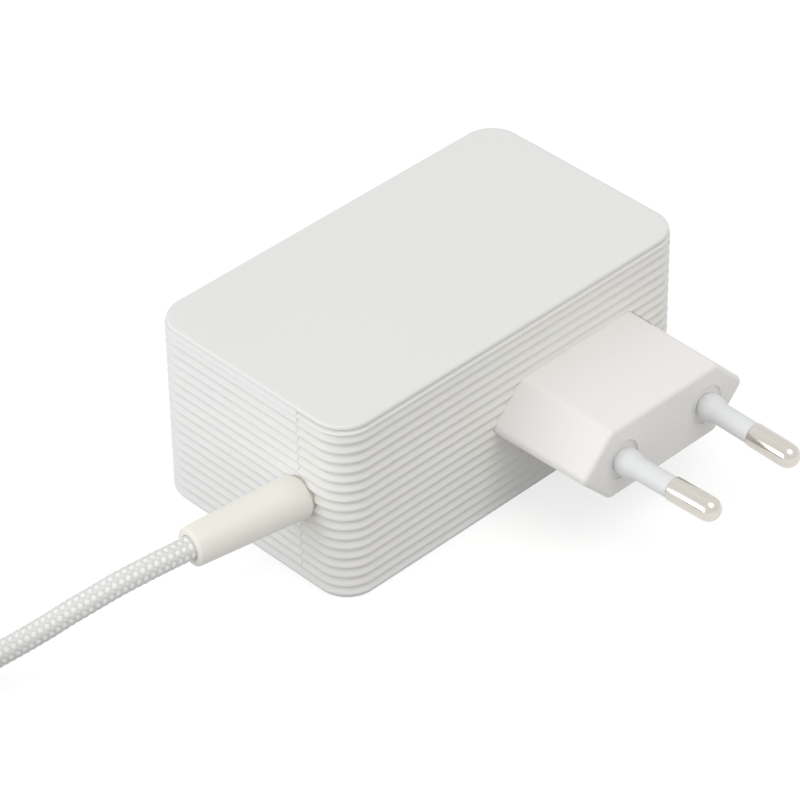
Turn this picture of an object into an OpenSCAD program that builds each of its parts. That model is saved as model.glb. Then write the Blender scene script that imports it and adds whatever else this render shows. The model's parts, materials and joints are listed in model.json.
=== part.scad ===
// Laptop power adapter: ribbed two-part housing, fixed two-pin mains plug, braided lead.
// +Z is up and the origin is the centre of the housing's underside.
// The mains plug points along -Y and the lead leaves through the -X end.

/* [Housing] */
// Length along X
body_l = 73.8; // [70:0.1:92]
// Depth along Y
body_w = 42.2; // [40:0.1:54]
// Height along Z
body_h = 33; // [32:0.1:42]
// Radius of the four upright corners
corner_r = 5.6; // [4.5:0.1:8]
// Thickness of every wall
wall = 2.2; // [1.6:0.1:2.6]
// Number of ribs up the sides
ribs = 18; // [14:1:22]
// Depth of the grooves between the ribs
rib_depth = 0.4; // [0.2:0.05:0.5]
// Height of the top plate's edge
top_edge = 0.7; // [0.5:0.05:1]
// How far the top plate stands back from the ribs
top_inset = 0.25; // [0:0.05:0.35]
// Distance of the seam from the front face
seam_in = 9.9; // [8:0.1:12]
// Gap left along the seam
seam_gap = 0.12; // [0.05:0.01:0.2]
// How much lower the front cover's ribs lie than the rear case's
cover_drop = 0.15; // [0:0.05:0.2]

/* [Mains plug] */
// Distance of the plug's centre from the middle of the front face
plug_x = 12.7; // [8:0.1:14]
// How far the plug's centre lies below mid height
plug_drop = 0.2; // [0:0.1:1]
// How far the plug stands out of the front face
plug_out = 18.5; // [14:0.1:24]
// Width of the plug over its two rounded sides
plug_w = 35.6; // [34:0.1:36]
// Height of the plug
plug_h = 13.5; // [12.4:0.1:13.8]
// Length of the plug's flat top
plug_flat = 22.4; // [21:0.1:24]
// How much each side draws in by the plug's end face
plug_draft = 0.25; // [0:0.05:0.5]
// Rounding of the plug's six long edges
plug_round = 1.6; // [1.4:0.1:2]
// Rounding round the plug's end face
plug_edge = 0.8; // [0.4:0.1:0.8]
// Distance between the two pins where they leave the plug
pin_spacing = 18.6; // [18:0.1:19.2]
// Distance between the two pins at their tips
pin_tip_spacing = 17.5; // [17:0.1:18]
// Length of a pin in front of the plug
pin_out = 19; // [18:0.1:20]
// Radius of a pin's bare contact
pin_r = 2; // [1.9:0.05:2.4]
// Length of a pin that is insulated
sleeve_out = 10; // [9:0.1:11]
// Radius of the insulating sleeve
sleeve_r = 1.8; // [1.65:0.05:1.85]
// Radius of the sleeve's rounded foot
sleeve_foot_r = 2.3; // [2.2:0.05:2.6]
// Radius of the shallow dish round each pin
dish_r = 3.4; // [3:0.1:4]

/* [Lead] */
// Diameter of the braided lead
cord_d = 3.8; // [3.6:0.1:4]
// Length of the strain relief outside the housing
boot_l = 19.7; // [16:0.1:24]
// Diameter of the strain relief at the housing
boot_d = 7.3; // [6.8:0.1:8.8]
// Diameter of the strain relief at its mouth
boot_end_d = 6.3; // [6.1:0.1:6.7]
// Angle by which the lead pulls the strain relief to the side
boot_turn = 7.5; // [0:0.5:12]
// Distance of the coil's outer turn from the coil's centre
coil_outer_r = 28.2; // [26:0.1:30]
// Gap between neighbouring turns
coil_spare = 0.5; // [0.45:0.05:0.8]
// Width of the tie round the coil
tie_w = 8; // [6:0.5:10]
// Thickness of the tie
tie_t = 0.5; // [0.4:0.05:0.6]

/* [Low-voltage connector] */
// Radius of the barrel
barrel_r = 2.75; // [2.5:0.05:3]
// Length of the barrel
barrel_l = 9.5; // [9:0.1:11]
// Radius of the bore that takes the socket's centre pin
contact_bore_r = 1.25; // [1.05:0.05:1.25]
// Radius of the grip
grip_r = 4.5; // [4.2:0.1:5]
// Length of the grip
grip_l = 18; // [14:0.5:24]
// Length of the tapered sleeve behind the grip
grip_tail = 10; // [8:0.5:14]

/* [Circuit] */
// Room between the circuit board and the housing's wall at each end
board_end_room = 1.7; // [1.7:0.1:2.7]
// Room between the circuit board and the housing's wall at each side
board_side_room = 1.4; // [1.1:0.1:1.9]
// Thickness of the circuit board
board_t = 1.6; // [1:0.1:2]
// Height of the board's underside above the floor of the housing
board_gap = 2.8; // [2.6:0.1:3]
// Height of the bulk capacitor
bulk_h = 20; // [16:0.5:21]
// Radius of the bulk capacitor
bulk_r = 8; // [6:0.25:8]
// Height of the transformer core
core_h = 20; // [18:0.5:20.5]

/* [Hidden] */
fine = 96;
medium = 48;
slack = 0.1;

// ---- derived sizes ----
front_y = -body_w / 2;
back_y = body_w / 2;
end_x = body_l / 2;
inner_x = end_x - wall;
inner_y = back_y - wall;
inner_top = body_h - wall;
pitch = body_h / ribs;
rib_r = (pow(pitch / 2, 2) + pow(rib_depth, 2)) / (2 * rib_depth);
slim_rib = pitch - top_edge;
slim_rib_r = (pow(slim_rib / 2, 2) + pow(rib_depth, 2)) / (2 * rib_depth);
seam_y = front_y + seam_in;
joint_lift = 0.05;
cover_low = pitch + joint_lift;
cover_high = body_h - top_edge;
plug_z = body_h / 2 - plug_drop;
plug_face_y = front_y - plug_out;
pin_lean = atan((pin_spacing - pin_tip_spacing) / 2 / pin_out);
lead_z = body_h / 2;
board_l = 2 * (inner_x - board_end_room);
board_w = 2 * (inner_y - board_side_room);
board_low = wall + board_gap;
board_top = board_low + board_t;
part_z = board_top + 0.3;
leg_low = board_low - 1;
leg_r = 0.4;
leg_hole_r = leg_r + 0.15;

// ---- general shapes ----
function unit(v) = v / norm(v);

module rounded_rect(l, w, r) {
    square([l - 2 * r, w], center = true);
    square([l, w - 2 * r], center = true);
    for (sx = [-1, 1], sy = [-1, 1])
        translate([sx * (l / 2 - r), sy * (w / 2 - r)]) circle(r = r, $fn = medium);
}

module slab(l, w, h, r) {
    linear_extrude(h) rounded_rect(l, w, r);
}

// A convex outline round the given corner centres, with true arcs of radius r
module rounded_outline(centres, r) {
    n = len(centres);
    sides = [for (i = [0 : n - 1]) unit(centres[(i + 1) % n] - centres[i])];
    polygon([for (i = [0 : n - 1], k = [n - 1, 0])
        centres[i] + r * [sides[(i + k) % n][1], -sides[(i + k) % n][0]]]);
    for (c = centres) translate(c) circle(r = r, $fn = medium);
}

// A solid swept along a path. Each size is [radius, half the straight height between two arcs].
function along(p, i) = unit(p[min(i + 1, len(p) - 1)] - p[max(i - 1, 0)]);
function ring_at(p, i, size, sides) =
    let (t = along(p, i), side = unit(cross(t, [0, 0, 1])), up = cross(side, t))
    [for (k = [0 : sides - 1]) let (a = 360 * k / sides)
        p[i] + side * size[0] * cos(a) + up * (size[0] * sin(a) + size[1] * sign(sin(a)))];

module sweep(p, sizes, sides) {
    n = len(p);
    points = [for (i = [0 : n - 1]) each ring_at(p, i, sizes[i], sides)];
    skin = [for (i = [0 : n - 2], k = [0 : sides - 1])
        let (a = i * sides + k, b = i * sides + (k + 1) % sides)
        each [[a, b, a + sides], [b, b + sides, a + sides]]];
    start_cap = [for (k = [1 : sides - 2]) [0, k + 1, k]];
    end_cap = [for (k = [1 : sides - 2]) (n - 1) * sides * [1, 1, 1] + [0, k, k + 1]];
    polyhedron(points, concat(skin, start_cap, end_cap));
}

module tube(p, r, sides) {
    sweep(p, [for (q = p) [r, 0]], sides);
}

// Rods from below the board up to a height, one for each place
module legs(places, top) {
    for (q = places)
        translate([q[0], q[1], leg_low]) cylinder(r = leg_r, h = top - leg_low, $fn = 16);
}

// ---- housing ----
// Half section of a side wall: x runs outwards from the corner's centre line
module side_profile() {
    plate_x = corner_r - top_inset - top_edge;
    square([corner_r - rib_depth - 0.05, cover_high]);
    square([plate_x, body_h]);
    intersection() {
        square([corner_r, body_h]);
        union() {
            for (k = [0 : ribs - 2])
                translate([corner_r - rib_r, (k + 0.5) * pitch]) circle(r = rib_r, $fn = 72);
            translate([corner_r - slim_rib_r, cover_high - slim_rib / 2])
                circle(r = slim_rib_r, $fn = 72);
            translate([plate_x, cover_high]) circle(r = top_edge, $fn = 72);
        }
    }
}

// The whole outer form, solid, with its ribs running right round
module ribbed_block() {
    hx = end_x - corner_r;
    hy = back_y - corner_r;
    translate([-hx, -hy, 0]) cube([2 * hx, 2 * hy, body_h]);
    for (q = [0 : 3]) {
        sx = (q == 0 || q == 3) ? 1 : -1;
        sy = (q < 2) ? 1 : -1;
        translate([sx * hx, sy * hy, 0])
            rotate(q * 90) rotate_extrude(angle = 90, $fn = fine) side_profile();
    }
    for (s = [0, 180]) rotate(s) {
        translate([hx, hy, 0]) rotate([90, 0, 0]) linear_extrude(2 * hy) side_profile();
        translate([-hx, hy, 0]) rotate([90, 0, 90]) linear_extrude(2 * hx) side_profile();
    }
}

// The block inside the walls, grown by a gap
module inner_block(gap, low, high) {
    translate([0, 0, low])
        slab(2 * (inner_x + gap), 2 * (inner_y + gap), high - low, corner_r - wall + gap);
}

// The space of the front cover, drawn in by a gap on every side that meets the rear case
module cover_space(gap) {
    difference() {
        translate([-end_x - 1, front_y - 1, cover_low + gap])
            cube([2 * end_x + 2, seam_in + 1 - gap, cover_high - cover_low - 2 * gap]);
        inner_block(gap, 0, body_h);
    }
}

// The strain relief's neck passes through both halves at the seam
neck_r = boot_d / 2 - 0.45;
neck_slack = 0.15;
neck_flange_r = boot_d / 2 + 1.4;
neck_flange_t = 1.4;
neck_bevel = 0.8;
module on_neck(x) {
    translate([x, seam_y, lead_z]) rotate([0, 90, 0]) children();
}

module neck_hole() {
    on_neck(-end_x - 1) cylinder(r = boot_d / 2 + neck_slack, h = wall + 2, $fn = fine);
}

post_in = 2;
post_x = board_l / 2 - post_in;
post_y = board_w / 2 - post_in;
post_r = 1.9;
post_pin_r = 1.1;
module board_posts() {
    for (sx = [-1, 1], sy = [-1, 1]) translate([sx * post_x, sy * post_y, wall - 0.2]) {
        cylinder(r = post_r, h = board_gap + 0.2, $fn = 32);
        cylinder(r = post_pin_r, h = board_gap + board_t + 0.4, $fn = 32);
    }
}

// A low rim on the floor that the front cover's wall closes against
rim_in = 5;
rim_t = 0.9;
rim_h = 1.8;
module floor_rim() {
    translate([-inner_x + rim_in, -inner_y, wall - 0.2])
        cube([2 * (inner_x - rim_in), rim_t, rim_h + 0.2]);
}

module rear_case() {
    color("WhiteSmoke") {
        difference() {
            ribbed_block();
            inner_block(0, wall, inner_top);
            cover_space(0);
            neck_hole();
        }
        board_posts();
        floor_rim();
    }
}

// The plug's six-sided outline, grown or drawn in all round
module plug_outline(grow) {
    w = plug_w / 2 - plug_round;
    h = plug_h / 2 - plug_round;
    f = plug_flat / 2;
    rounded_outline([[w, 0], [f, h], [-f, h], [-w, 0], [-f, -h], [f, -h]], plug_round + grow);
}

// Draws a profile of the X-Z plane out along -Y from the given place
module toward_front(y) {
    translate([plug_x, y, plug_z]) rotate([90, 0, 0]) children();
}

tongue_l = 2.4;
tongue_t = 1.1;
tongue_in = 3;
tongue_foot = 3;
tongue_foot_t = 0.4;
tongue_gap = 2 * neck_flange_r + 1;
flange_grow = 0.8;
flange_t = 1.5;
cover_inner_y = -inner_y - seam_gap;
module front_cover() {
    tongue_low = wall + tongue_in;
    tongue_h = inner_top - wall - 2 * tongue_in;
    color("WhiteSmoke")
        difference() {
            union() {
                intersection() {
                    translate([0, 0, -cover_drop]) ribbed_block();
                    cover_space(seam_gap);
                }
                for (s = [-1, 1]) translate([s * (inner_x - slack - tongue_t / 2), 0, 0]) {
                    translate([-tongue_t / 2, seam_y - tongue_foot, tongue_low])
                        cube([tongue_t, tongue_foot + tongue_l, tongue_h]);
                    translate([-tongue_t / 2 - tongue_foot_t, seam_y - tongue_foot, tongue_low])
                        cube([tongue_t + 2 * tongue_foot_t, tongue_foot - 0.6, tongue_h]);
                }
            }
            neck_hole();
            translate([-inner_x - 1, seam_y - tongue_foot - 1, lead_z - tongue_gap / 2])
                cube([tongue_t + 2, tongue_foot + tongue_l + 2, tongue_gap]);
            toward_front(cover_inner_y + 1) linear_extrude(wall + 2) plug_outline(slack);
        }
}

// ---- mains plug ----
// Puts its children on a pin's axis: -Z points out of the plug, side is -1 or 1
module on_pin(side) {
    translate([plug_x + side * pin_spacing / 2, plug_face_y, plug_z])
        rotate([0, 0, side * -pin_lean]) rotate([-90, 0, 0]) children();
}

socket_depth = 6;
core_r = 1.5;
pin_back = plug_out + wall + 3.3;
dish_depth = 0.5;
foot_seat_r = sleeve_r;
plug_root_y = cover_inner_y + flange_t / 2;
module plug_body() {
    root = front_y - plug_root_y;
    color("Linen")
        difference() {
            union() {
                toward_front(plug_root_y) hull() {
                    linear_extrude(0.01) plug_outline(0);
                    translate([0, 0, -root + plug_out - plug_edge])
                        linear_extrude(0.01) plug_outline(-plug_draft);
                    translate([0, 0, -root + plug_out - plug_edge * 0.3])
                        linear_extrude(0.01) plug_outline(-plug_draft - plug_edge * 0.3);
                    translate([0, 0, -root + plug_out - 0.01])
                        linear_extrude(0.01) plug_outline(-plug_draft - plug_edge);
                }
                intersection() {
                    toward_front(cover_inner_y + flange_t)
                        linear_extrude(flange_t) plug_outline(flange_grow);
                    inner_block(seam_gap, wall, inner_top);
                }
            }
            for (side = [-1, 1]) on_pin(side) {
                translate([0, 0, -1]) cylinder(r = core_r + 0.05, h = pin_back + 5, $fn = medium);
                translate([0, 0, -1])
                    cylinder(r = foot_seat_r + 0.05, h = 1 + socket_depth, $fn = medium);
                translate([0, 0, -1]) cylinder(r = dish_r, h = 1 + dish_depth, $fn = medium);
            }
        }
}

module pin(side) {
    bare = pin_out - sleeve_out;
    core_low = -sleeve_out - bare / 4;
    color("Silver") on_pin(side) {
        translate([0, 0, core_low]) cylinder(r = core_r, h = pin_back - core_low, $fn = medium);
        translate([0, 0, -pin_out + pin_r])
            cylinder(r = pin_r, h = bare - pin_r, $fn = medium);
        intersection() {
            translate([0, 0, -pin_out + pin_r]) sphere(r = pin_r, $fn = medium);
            translate([0, 0, -pin_out]) cylinder(r = pin_r + 1, h = pin_r, $fn = medium);
        }
    }
}

module pin_left() {
    pin(-1);
}

module pin_right() {
    pin(1);
}

// The sleeve's foot is a rounded bulb that stands in the dish and narrows to the sleeve's own radius
foot_round = 0.45;
foot_rise = 1;
waist_l = 3.2;
module pin_sleeve(side) {
    foot = [for (a = [0 : 15 : 90])
        [sleeve_foot_r - foot_round * (1 - sin(a)), -dish_depth + foot_rise * (1 - cos(a))]];
    waist = [for (a = [15 : 15 : 180])
        [sleeve_r + (sleeve_foot_r - sleeve_r) * (1 + cos(a)) / 2,
         -dish_depth + foot_rise + waist_l * a / 180]];
    color("White") on_pin(side) mirror([0, 0, 1])
        rotate_extrude($fn = fine) difference() {
            polygon(concat(
                [[0, -socket_depth], [foot_seat_r, -socket_depth], [foot_seat_r, -dish_depth]],
                foot, waist,
                [[sleeve_r, sleeve_out - 0.02], [0, sleeve_out - 0.02]]));
            translate([0, -socket_depth - 1]) square([core_r + 0.02, sleeve_out + socket_depth + 2]);
        }
}

module pin_sleeve_left() {
    pin_sleeve(-1);
}

module pin_sleeve_right() {
    pin_sleeve(1);
}

// A brass strip that is riveted on the pin's tail and soldered into the board
strip_t = 0.6;
strip_y = cover_inner_y + flange_t + 0.6;
strip_w = 5;
strip_leg_w = 1.4;
function tail_x(side) =
    plug_x + side * (pin_spacing / 2 + (strip_y - plug_face_y) * tan(pin_lean));
module mains_contact(side) {
    x = tail_x(side);
    color("Goldenrod") difference() {
        union() {
            translate([x - strip_w / 2, strip_y, part_z])
                cube([strip_w, strip_t, plug_z + strip_w / 2 - part_z]);
            translate([x - strip_leg_w / 2, strip_y, leg_low])
                cube([strip_leg_w, strip_t, part_z - leg_low + 0.5]);
        }
        on_pin(side) translate([0, 0, plug_out])
            cylinder(r = core_r + 0.02, h = pin_back, $fn = medium);
    }
}

module mains_contact_left() {
    mains_contact(-1);
}

module mains_contact_right() {
    mains_contact(1);
}

// ---- lead ----
boot_dir = [-cos(boot_turn), sin(boot_turn), 0];
boot_base = [-end_x, seam_y, lead_z];
boot_mouth = boot_base + boot_l * boot_dir;
mouth_r = cord_d / 2 + 0.4;
mouth_depth = 4;
mouth_edge = 0.5;
boot_foot = 0.3;
module strain_relief() {
    arc_r = boot_end_d / 2 - mouth_edge;
    color("Ivory") {
        translate(boot_base) rotate([0, -90, -boot_turn]) rotate_extrude($fn = fine)
            polygon(concat(
                [[0, -boot_foot], [boot_d / 2, -boot_foot], [boot_d / 2, boot_foot]],
                [for (a = [0 : 15 : 90])
                    [arc_r + mouth_edge * cos(a), boot_l - mouth_edge * (1 - sin(a))]],
                [[mouth_r, boot_l], [mouth_r, boot_l - mouth_depth], [0, boot_l - mouth_depth]]));
        on_neck(-end_x - 2 * boot_foot)
            cylinder(r = neck_r, h = wall + 2 * boot_foot + slack + neck_flange_t / 2, $fn = fine);
        on_neck(-inner_x + slack) rotate_extrude($fn = fine) polygon([
            [0, 0], [neck_flange_r - neck_bevel, 0], [neck_flange_r, neck_bevel],
            [neck_flange_r, neck_flange_t], [0, neck_flange_t]]);
    }
}

// Places that the free lead passes, from the strain relief to the coil. X counts from the mouth.
// When the mouth moves away from drawn_mouth, the bend that this takes fades out along the lead.
drawn_mouth = [0, -8.63, 16.5];
FREE_PLACES = [
    [-4.17, -8, 16.4], [-7.97, -7.1, 15.9], [-11.77, -5.9, 15],
    [-15.37, -4.6, 13.7], [-18.87, -3.1, 12.2], [-22.27, -1.6, 10.5],
    [-25.57, 0, 8.9], [-28.77, 1.7, 7.3], [-31.87, 3.4, 5.8],
    [-35.07, 5.3, 4.5], [-38.37, 7.3, 3.6], [-41.77, 9.4, 2.9],
    [-45.17, 11.4, 2.5], [-48.67, 13.4, 2.2], [-52.17, 15.2, 2.1],
    [-55.77, 16.9, 2.1], [-59.47, 18.5, 2.2], [-63.17, 20, 2.3]
];
mouth_moved = [0, boot_mouth[1] - drawn_mouth[1], boot_mouth[2] - drawn_mouth[2]];
free_steps = len(FREE_PLACES) - 1;
CORD_ROUTE = [for (i = [0 : free_steps])
    FREE_PLACES[i] + [boot_mouth[0], 0, 0] + mouth_moved * (1 - eased(i / free_steps))];

// The coil: a spiral that winds in and out again, and climbs a layer where it turns
COIL_CENTRE = [boot_mouth[0] - 81.57, -4];
tie_slack = 0.1;
coil_low = tie_t + tie_slack + cord_d / 2;
coil_layers = 4;
coil_step = cord_d + coil_spare;
coil_rise = coil_step;
coil_start = 75;
coil_sweep = 12 * 360 - 15;
coil_rings = coil_sweep / 15;
layer_sweep = coil_sweep / coil_layers;
function eased(t) = let (u = min(max(t, 0), 1)) u * u * (3 - 2 * u);
function coil_at(a) =
    let (k = floor(a / layer_sweep), f = a / layer_sweep - k,
         wound_in = (k % 2 == 0) ? f : 1 - f,
         r = coil_outer_r - coil_step * layer_sweep / 360 * wound_in,
         climbs = [for (b = [1 : coil_layers - 1]) eased((a - b * layer_sweep) / 180 + 0.5)],
         z = coil_low + coil_rise * (climbs[0] + climbs[1] + climbs[2]))
    [COIL_CENTRE[0] + r * cos(coil_start + a), COIL_CENTRE[1] + r * sin(coil_start + a), z];
COIL_TURNS = [for (i = [0 : coil_rings]) coil_at(15 * i)];
coil_in = [-sin(coil_start), cos(coil_start), 0];
coil_out = [-sin(coil_start + coil_sweep), cos(coil_start + coil_sweep), 0];
COIL_PATH = concat([COIL_TURNS[0] - cord_d * coil_in], COIL_TURNS,
    [COIL_TURNS[coil_rings] + cord_d * coil_out]);

// The tail winds on round the coil, moves out beside it and comes down to the floor
tail_sweep = 120;
tail_shift = coil_step + 0.7;
tail_straight = 8;
coil_top = coil_low + (coil_layers - 1) * coil_rise;
function tail_at(a) =
    let (r = coil_outer_r + tail_shift * eased(a / 75), b = coil_start + coil_sweep + a)
    [COIL_CENTRE[0] + r * cos(b), COIL_CENTRE[1] + r * sin(b),
     coil_top + (grip_r - coil_top) * eased((a - 25) / 95)];
TAIL_TURN = [for (a = [20 : 10 : tail_sweep]) tail_at(a)];
tail_end = tail_at(tail_sweep) - [0, tail_straight + mouth_depth, 0];

// The least distance between turns, over points at least half a turn apart
WOUND = concat(COIL_PATH, TAIL_TURN);
coil_gap = min([for (i = [0 : len(WOUND) - 13])
    min([for (j = [i + 12 : len(WOUND) - 1]) norm(WOUND[i] - WOUND[j])])]) - cord_d;
echo(least_gap_between_turns = coil_gap);

module cord() {
    color("White") tube(concat(
        [boot_mouth - boot_dir * mouth_depth, boot_mouth],
        CORD_ROUTE,
        [COIL_PATH[0] - cord_d * coil_in, COIL_PATH[0]]), cord_d / 2, 8);
}

module cord_coil() {
    color("White") tube(COIL_PATH, cord_d / 2, 6);
}

module cord_tail() {
    top = COIL_PATH[coil_rings + 2];
    color("White") tube(concat([top, top + 1.5 * coil_out], TAIL_TURN,
        [tail_end + [0, mouth_depth, 0], tail_end]), cord_d / 2, 8);
}

// A strap round the bundle of turns, on the side away from the lead's climbs
tie_angle = 300;
tie_clear = 0.3;
tie_round = 1.4;
lug_h = 8;
module cord_tie() {
    inner_r = coil_outer_r - coil_step * layer_sweep / 360 - cord_d / 2;
    near = sqrt(pow(inner_r, 2) - pow(tie_w / 2, 2)) - tie_clear;
    far = coil_outer_r + cord_d / 2 + tie_clear;
    high = coil_low + (coil_layers - 1) * coil_rise + cord_d / 2 + tie_slack;
    color("DimGray")
        translate([COIL_CENTRE[0], COIL_CENTRE[1], 0]) rotate(tie_angle)
            translate([0, tie_w / 2, 0]) rotate([90, 0, 0]) {
                linear_extrude(tie_w) difference() {
                    translate([(near + far) / 2, (high + tie_t) / 2])
                        rounded_rect(far - near + 2 * tie_t, high + tie_t, tie_round);
                    translate([(near + far) / 2, (high + tie_t) / 2])
                        rounded_rect(far - near, high - tie_t, tie_round - tie_t);
                }
                translate([far + tie_t - 0.05, (high - lug_h) / 2, 0])
                    cube([tie_t + 0.1, lug_h, tie_w]);
            }
}

// ---- low-voltage connector ----
connector_x = tail_end[0];
connector_z = grip_r;
connector_y = tail_end[1] + mouth_depth;
// Inside the grip the barrel is a little narrower, so that its bare length ends at the grip
barrel_socket = 4;
barrel_step = 0.25;
insulator_r = barrel_r - 0.5;
contact_r = contact_bore_r + 0.4;
module on_connector(from) {
    translate([connector_x, connector_y - from, connector_z]) rotate([90, 0, 0]) children();
}

sleeve_rings = 5;
ring_cut = 0.4;
shoulder_round = 0.6;
nose_round = 0.8;
module connector_grip() {
    tail_r = cord_d / 2 + 0.9;
    nose = grip_tail + grip_l;
    shoulder_r = grip_r - shoulder_round;
    ring_l = grip_tail / sleeve_rings;
    color("White") on_connector(0)
        rotate_extrude($fn = fine) difference() {
            polygon(concat(
                [[0, 0], [tail_r, 0]],
                [for (i = [0 : sleeve_rings - 1])
                    let (r = tail_r + (shoulder_r - tail_r) * (i + 0.5) / sleeve_rings)
                    each [[r, ring_l * (i + 0.5)],
                          [r - (i < sleeve_rings - 1 ? ring_cut : 0), ring_l * (i + 0.6)]]],
                [for (a = [0 : 15 : 90])
                    [shoulder_r + shoulder_round * sin(a),
                     grip_tail + shoulder_round * (2 - cos(a))]],
                [for (a = [0 : 15 : 90])
                    [grip_r - nose_round * (1 - cos(a)), nose - nose_round * (1 - sin(a))]],
                [[0, nose]]));
            translate([0, -1]) square([cord_d / 2 + 0.1, 1 + mouth_depth]);
            translate([0, nose - barrel_socket])
                square([barrel_r - barrel_step + 0.02, barrel_socket + 1]);
        }
}

module connector_barrel() {
    bore = insulator_r + 0.02;
    narrow = barrel_r - barrel_step;
    tip = barrel_socket + barrel_l;
    color("Silver") on_connector(grip_tail + grip_l - barrel_socket)
        rotate_extrude($fn = fine) polygon([
            [bore, 0], [narrow, 0], [narrow, barrel_socket], [barrel_r, barrel_socket],
            [barrel_r, tip], [bore, tip]]);
}

module connector_insulator() {
    color("Black") on_connector(grip_tail + grip_l - barrel_socket)
        rotate_extrude($fn = fine) translate([contact_r + 0.02, 0])
            square([insulator_r - contact_r - 0.02, barrel_socket + barrel_l + 0.2]);
}

module connector_contact() {
    color("Gold") on_connector(grip_tail + grip_l - barrel_socket)
        rotate_extrude($fn = fine) difference() {
            square([contact_r, barrel_socket + barrel_l - 0.5]);
            translate([0, barrel_socket]) square([contact_bore_r, barrel_l + 1]);
        }
}

// ---- inner leads from the strain relief to the board ----
lead_r = 0.8;
lead_pad_x = -board_l / 2 + 4;
lead_pads = [[lead_pad_x, seam_y - 0.6], [lead_pad_x, seam_y + 2.2]];
module inner_lead(k) {
    start = [-inner_x + slack + neck_flange_t, seam_y + (k == 0 ? -1.2 : 1.2), lead_z];
    pad = lead_pads[k];
    tube([start, start + [1.5, 0, 0], start + [3, 0, -1], [pad[0] - 0.1, start[1], lead_z - 3],
          [pad[0] + 0.1, (start[1] + pad[1]) / 2, lead_z - 5], [pad[0] + 0.05, pad[1], lead_z - 7],
          [pad[0], pad[1], part_z]], lead_r, 10);
    translate([pad[0], pad[1], leg_low]) cylinder(r = leg_r, h = part_z - leg_low + 0.2, $fn = 16);
}

module lead_positive() {
    color("Red") inner_lead(0);
}

module lead_negative() {
    color("Black") inner_lead(1);
}

// ---- circuit ----
// Places on the board. The front row stands clear of the mains contacts and the corner posts.
front_row_y = strip_y + strip_t + 2.32;
fuse_at = [post_x - 4.8, front_row_y];
thermistor_at = [plug_x, front_row_y];
x_cap_at = [25, -8.2];
choke_at = [11, -6.2];
bridge_at = [9.2, 0];
bulk_at = [24.6, 8.4];
transformer_at = [-11.5, 3.2];
transistor_at = [8.8, 4.9];
y_cap_at = [-4.2, -11.6];
opto_at = [-12.2, -11.6];
chip_at = [-6, 3];
supply_cap_at = [4.4, 13.6];
snubber_at = [11.8, 13.6];
rectifier_at = [-20.6, -12.2];
out_cap_front_at = [2.4 - post_x, 3];
out_cap_rear_at = [2.4 - post_x, post_y - 3.9];
out_choke_at = [-28.4, -4.6];

// Spacing of the legs
disc_pitch = 5;
x_cap_pitch = 10;
bridge_pitch = 3.8;
bulk_pitch = 7.5;
package_pitch = 2.54;
bobbin_pitch = 4;
bobbin_row = 7.4;
bobbin_pins = 5;
opto_pitch = 2.54;
opto_row = 3.4;
small_can_pitch = 2;
can_pitch = 3.5;
snubber_pitch = 6.2;
out_choke_pitch = 3;
choke_leg_x = 5;
choke_leg_y = 2.7;

function pair(at, dx, dy) = [[at[0] - dx, at[1] - dy], [at[0] + dx, at[1] + dy]];
function row(at, n, step) = [for (i = [0 : n - 1]) [at[0] + (i - (n - 1) / 2) * step, at[1]]];
fuse_legs = pair(fuse_at, disc_pitch / 2, 0);
thermistor_legs = pair(thermistor_at, disc_pitch / 2, 0.4);
x_cap_legs = pair(x_cap_at, x_cap_pitch / 2, 0);
choke_legs = concat(
    pair(choke_at - [choke_leg_x, 0], 0, choke_leg_y),
    pair(choke_at + [choke_leg_x, 0], 0, choke_leg_y));
bridge_legs = row(bridge_at, 4, bridge_pitch);
bulk_legs = pair(bulk_at, bulk_pitch / 2, 0);
transformer_legs = concat(
    row(transformer_at - [0, bobbin_row], bobbin_pins, bobbin_pitch),
    row(transformer_at + [0, bobbin_row], bobbin_pins, bobbin_pitch));
transistor_legs = row(transistor_at, 3, package_pitch);
y_cap_legs = pair(y_cap_at, disc_pitch / 2, 0);
opto_legs = concat(
    pair(opto_at, opto_pitch / 2, opto_row), pair(opto_at, opto_pitch / 2, -opto_row));
supply_cap_legs = pair(supply_cap_at, small_can_pitch / 2, 0);
snubber_legs = pair(snubber_at, snubber_pitch / 2, 0);
rectifier_legs = row(rectifier_at, 3, package_pitch);
out_cap_front_legs = pair(out_cap_front_at, 0, can_pitch / 2);
out_cap_rear_legs = pair(out_cap_rear_at, 0, can_pitch / 2);
out_choke_legs = pair(out_choke_at, 0, out_choke_pitch / 2);
all_legs = concat(
    fuse_legs, thermistor_legs, x_cap_legs, choke_legs, bridge_legs, bulk_legs,
    transformer_legs, transistor_legs, y_cap_legs, opto_legs, supply_cap_legs, snubber_legs,
    rectifier_legs, out_cap_front_legs, out_cap_rear_legs, out_choke_legs, lead_pads);

board_corner_r = 2;
module main_board() {
    color("DarkGreen") difference() {
        translate([0, 0, board_low]) slab(board_l, board_w, board_t, board_corner_r);
        for (q = all_legs)
            translate([q[0], q[1], board_low - 1])
                cylinder(r = leg_hole_r, h = board_t + 2, $fn = 16);
        for (sx = [-1, 1], sy = [-1, 1])
            translate([sx * post_x, sy * post_y, board_low - 1])
                cylinder(r = post_pin_r + slack, h = board_t + 2, $fn = 32);
        for (side = [-1, 1])
            translate([tail_x(side) - strip_leg_w / 2 - slack, strip_y - slack, board_low - 1])
                cube([strip_leg_w + 2 * slack, strip_t + 2 * slack, board_t + 2]);
    }
}

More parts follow.
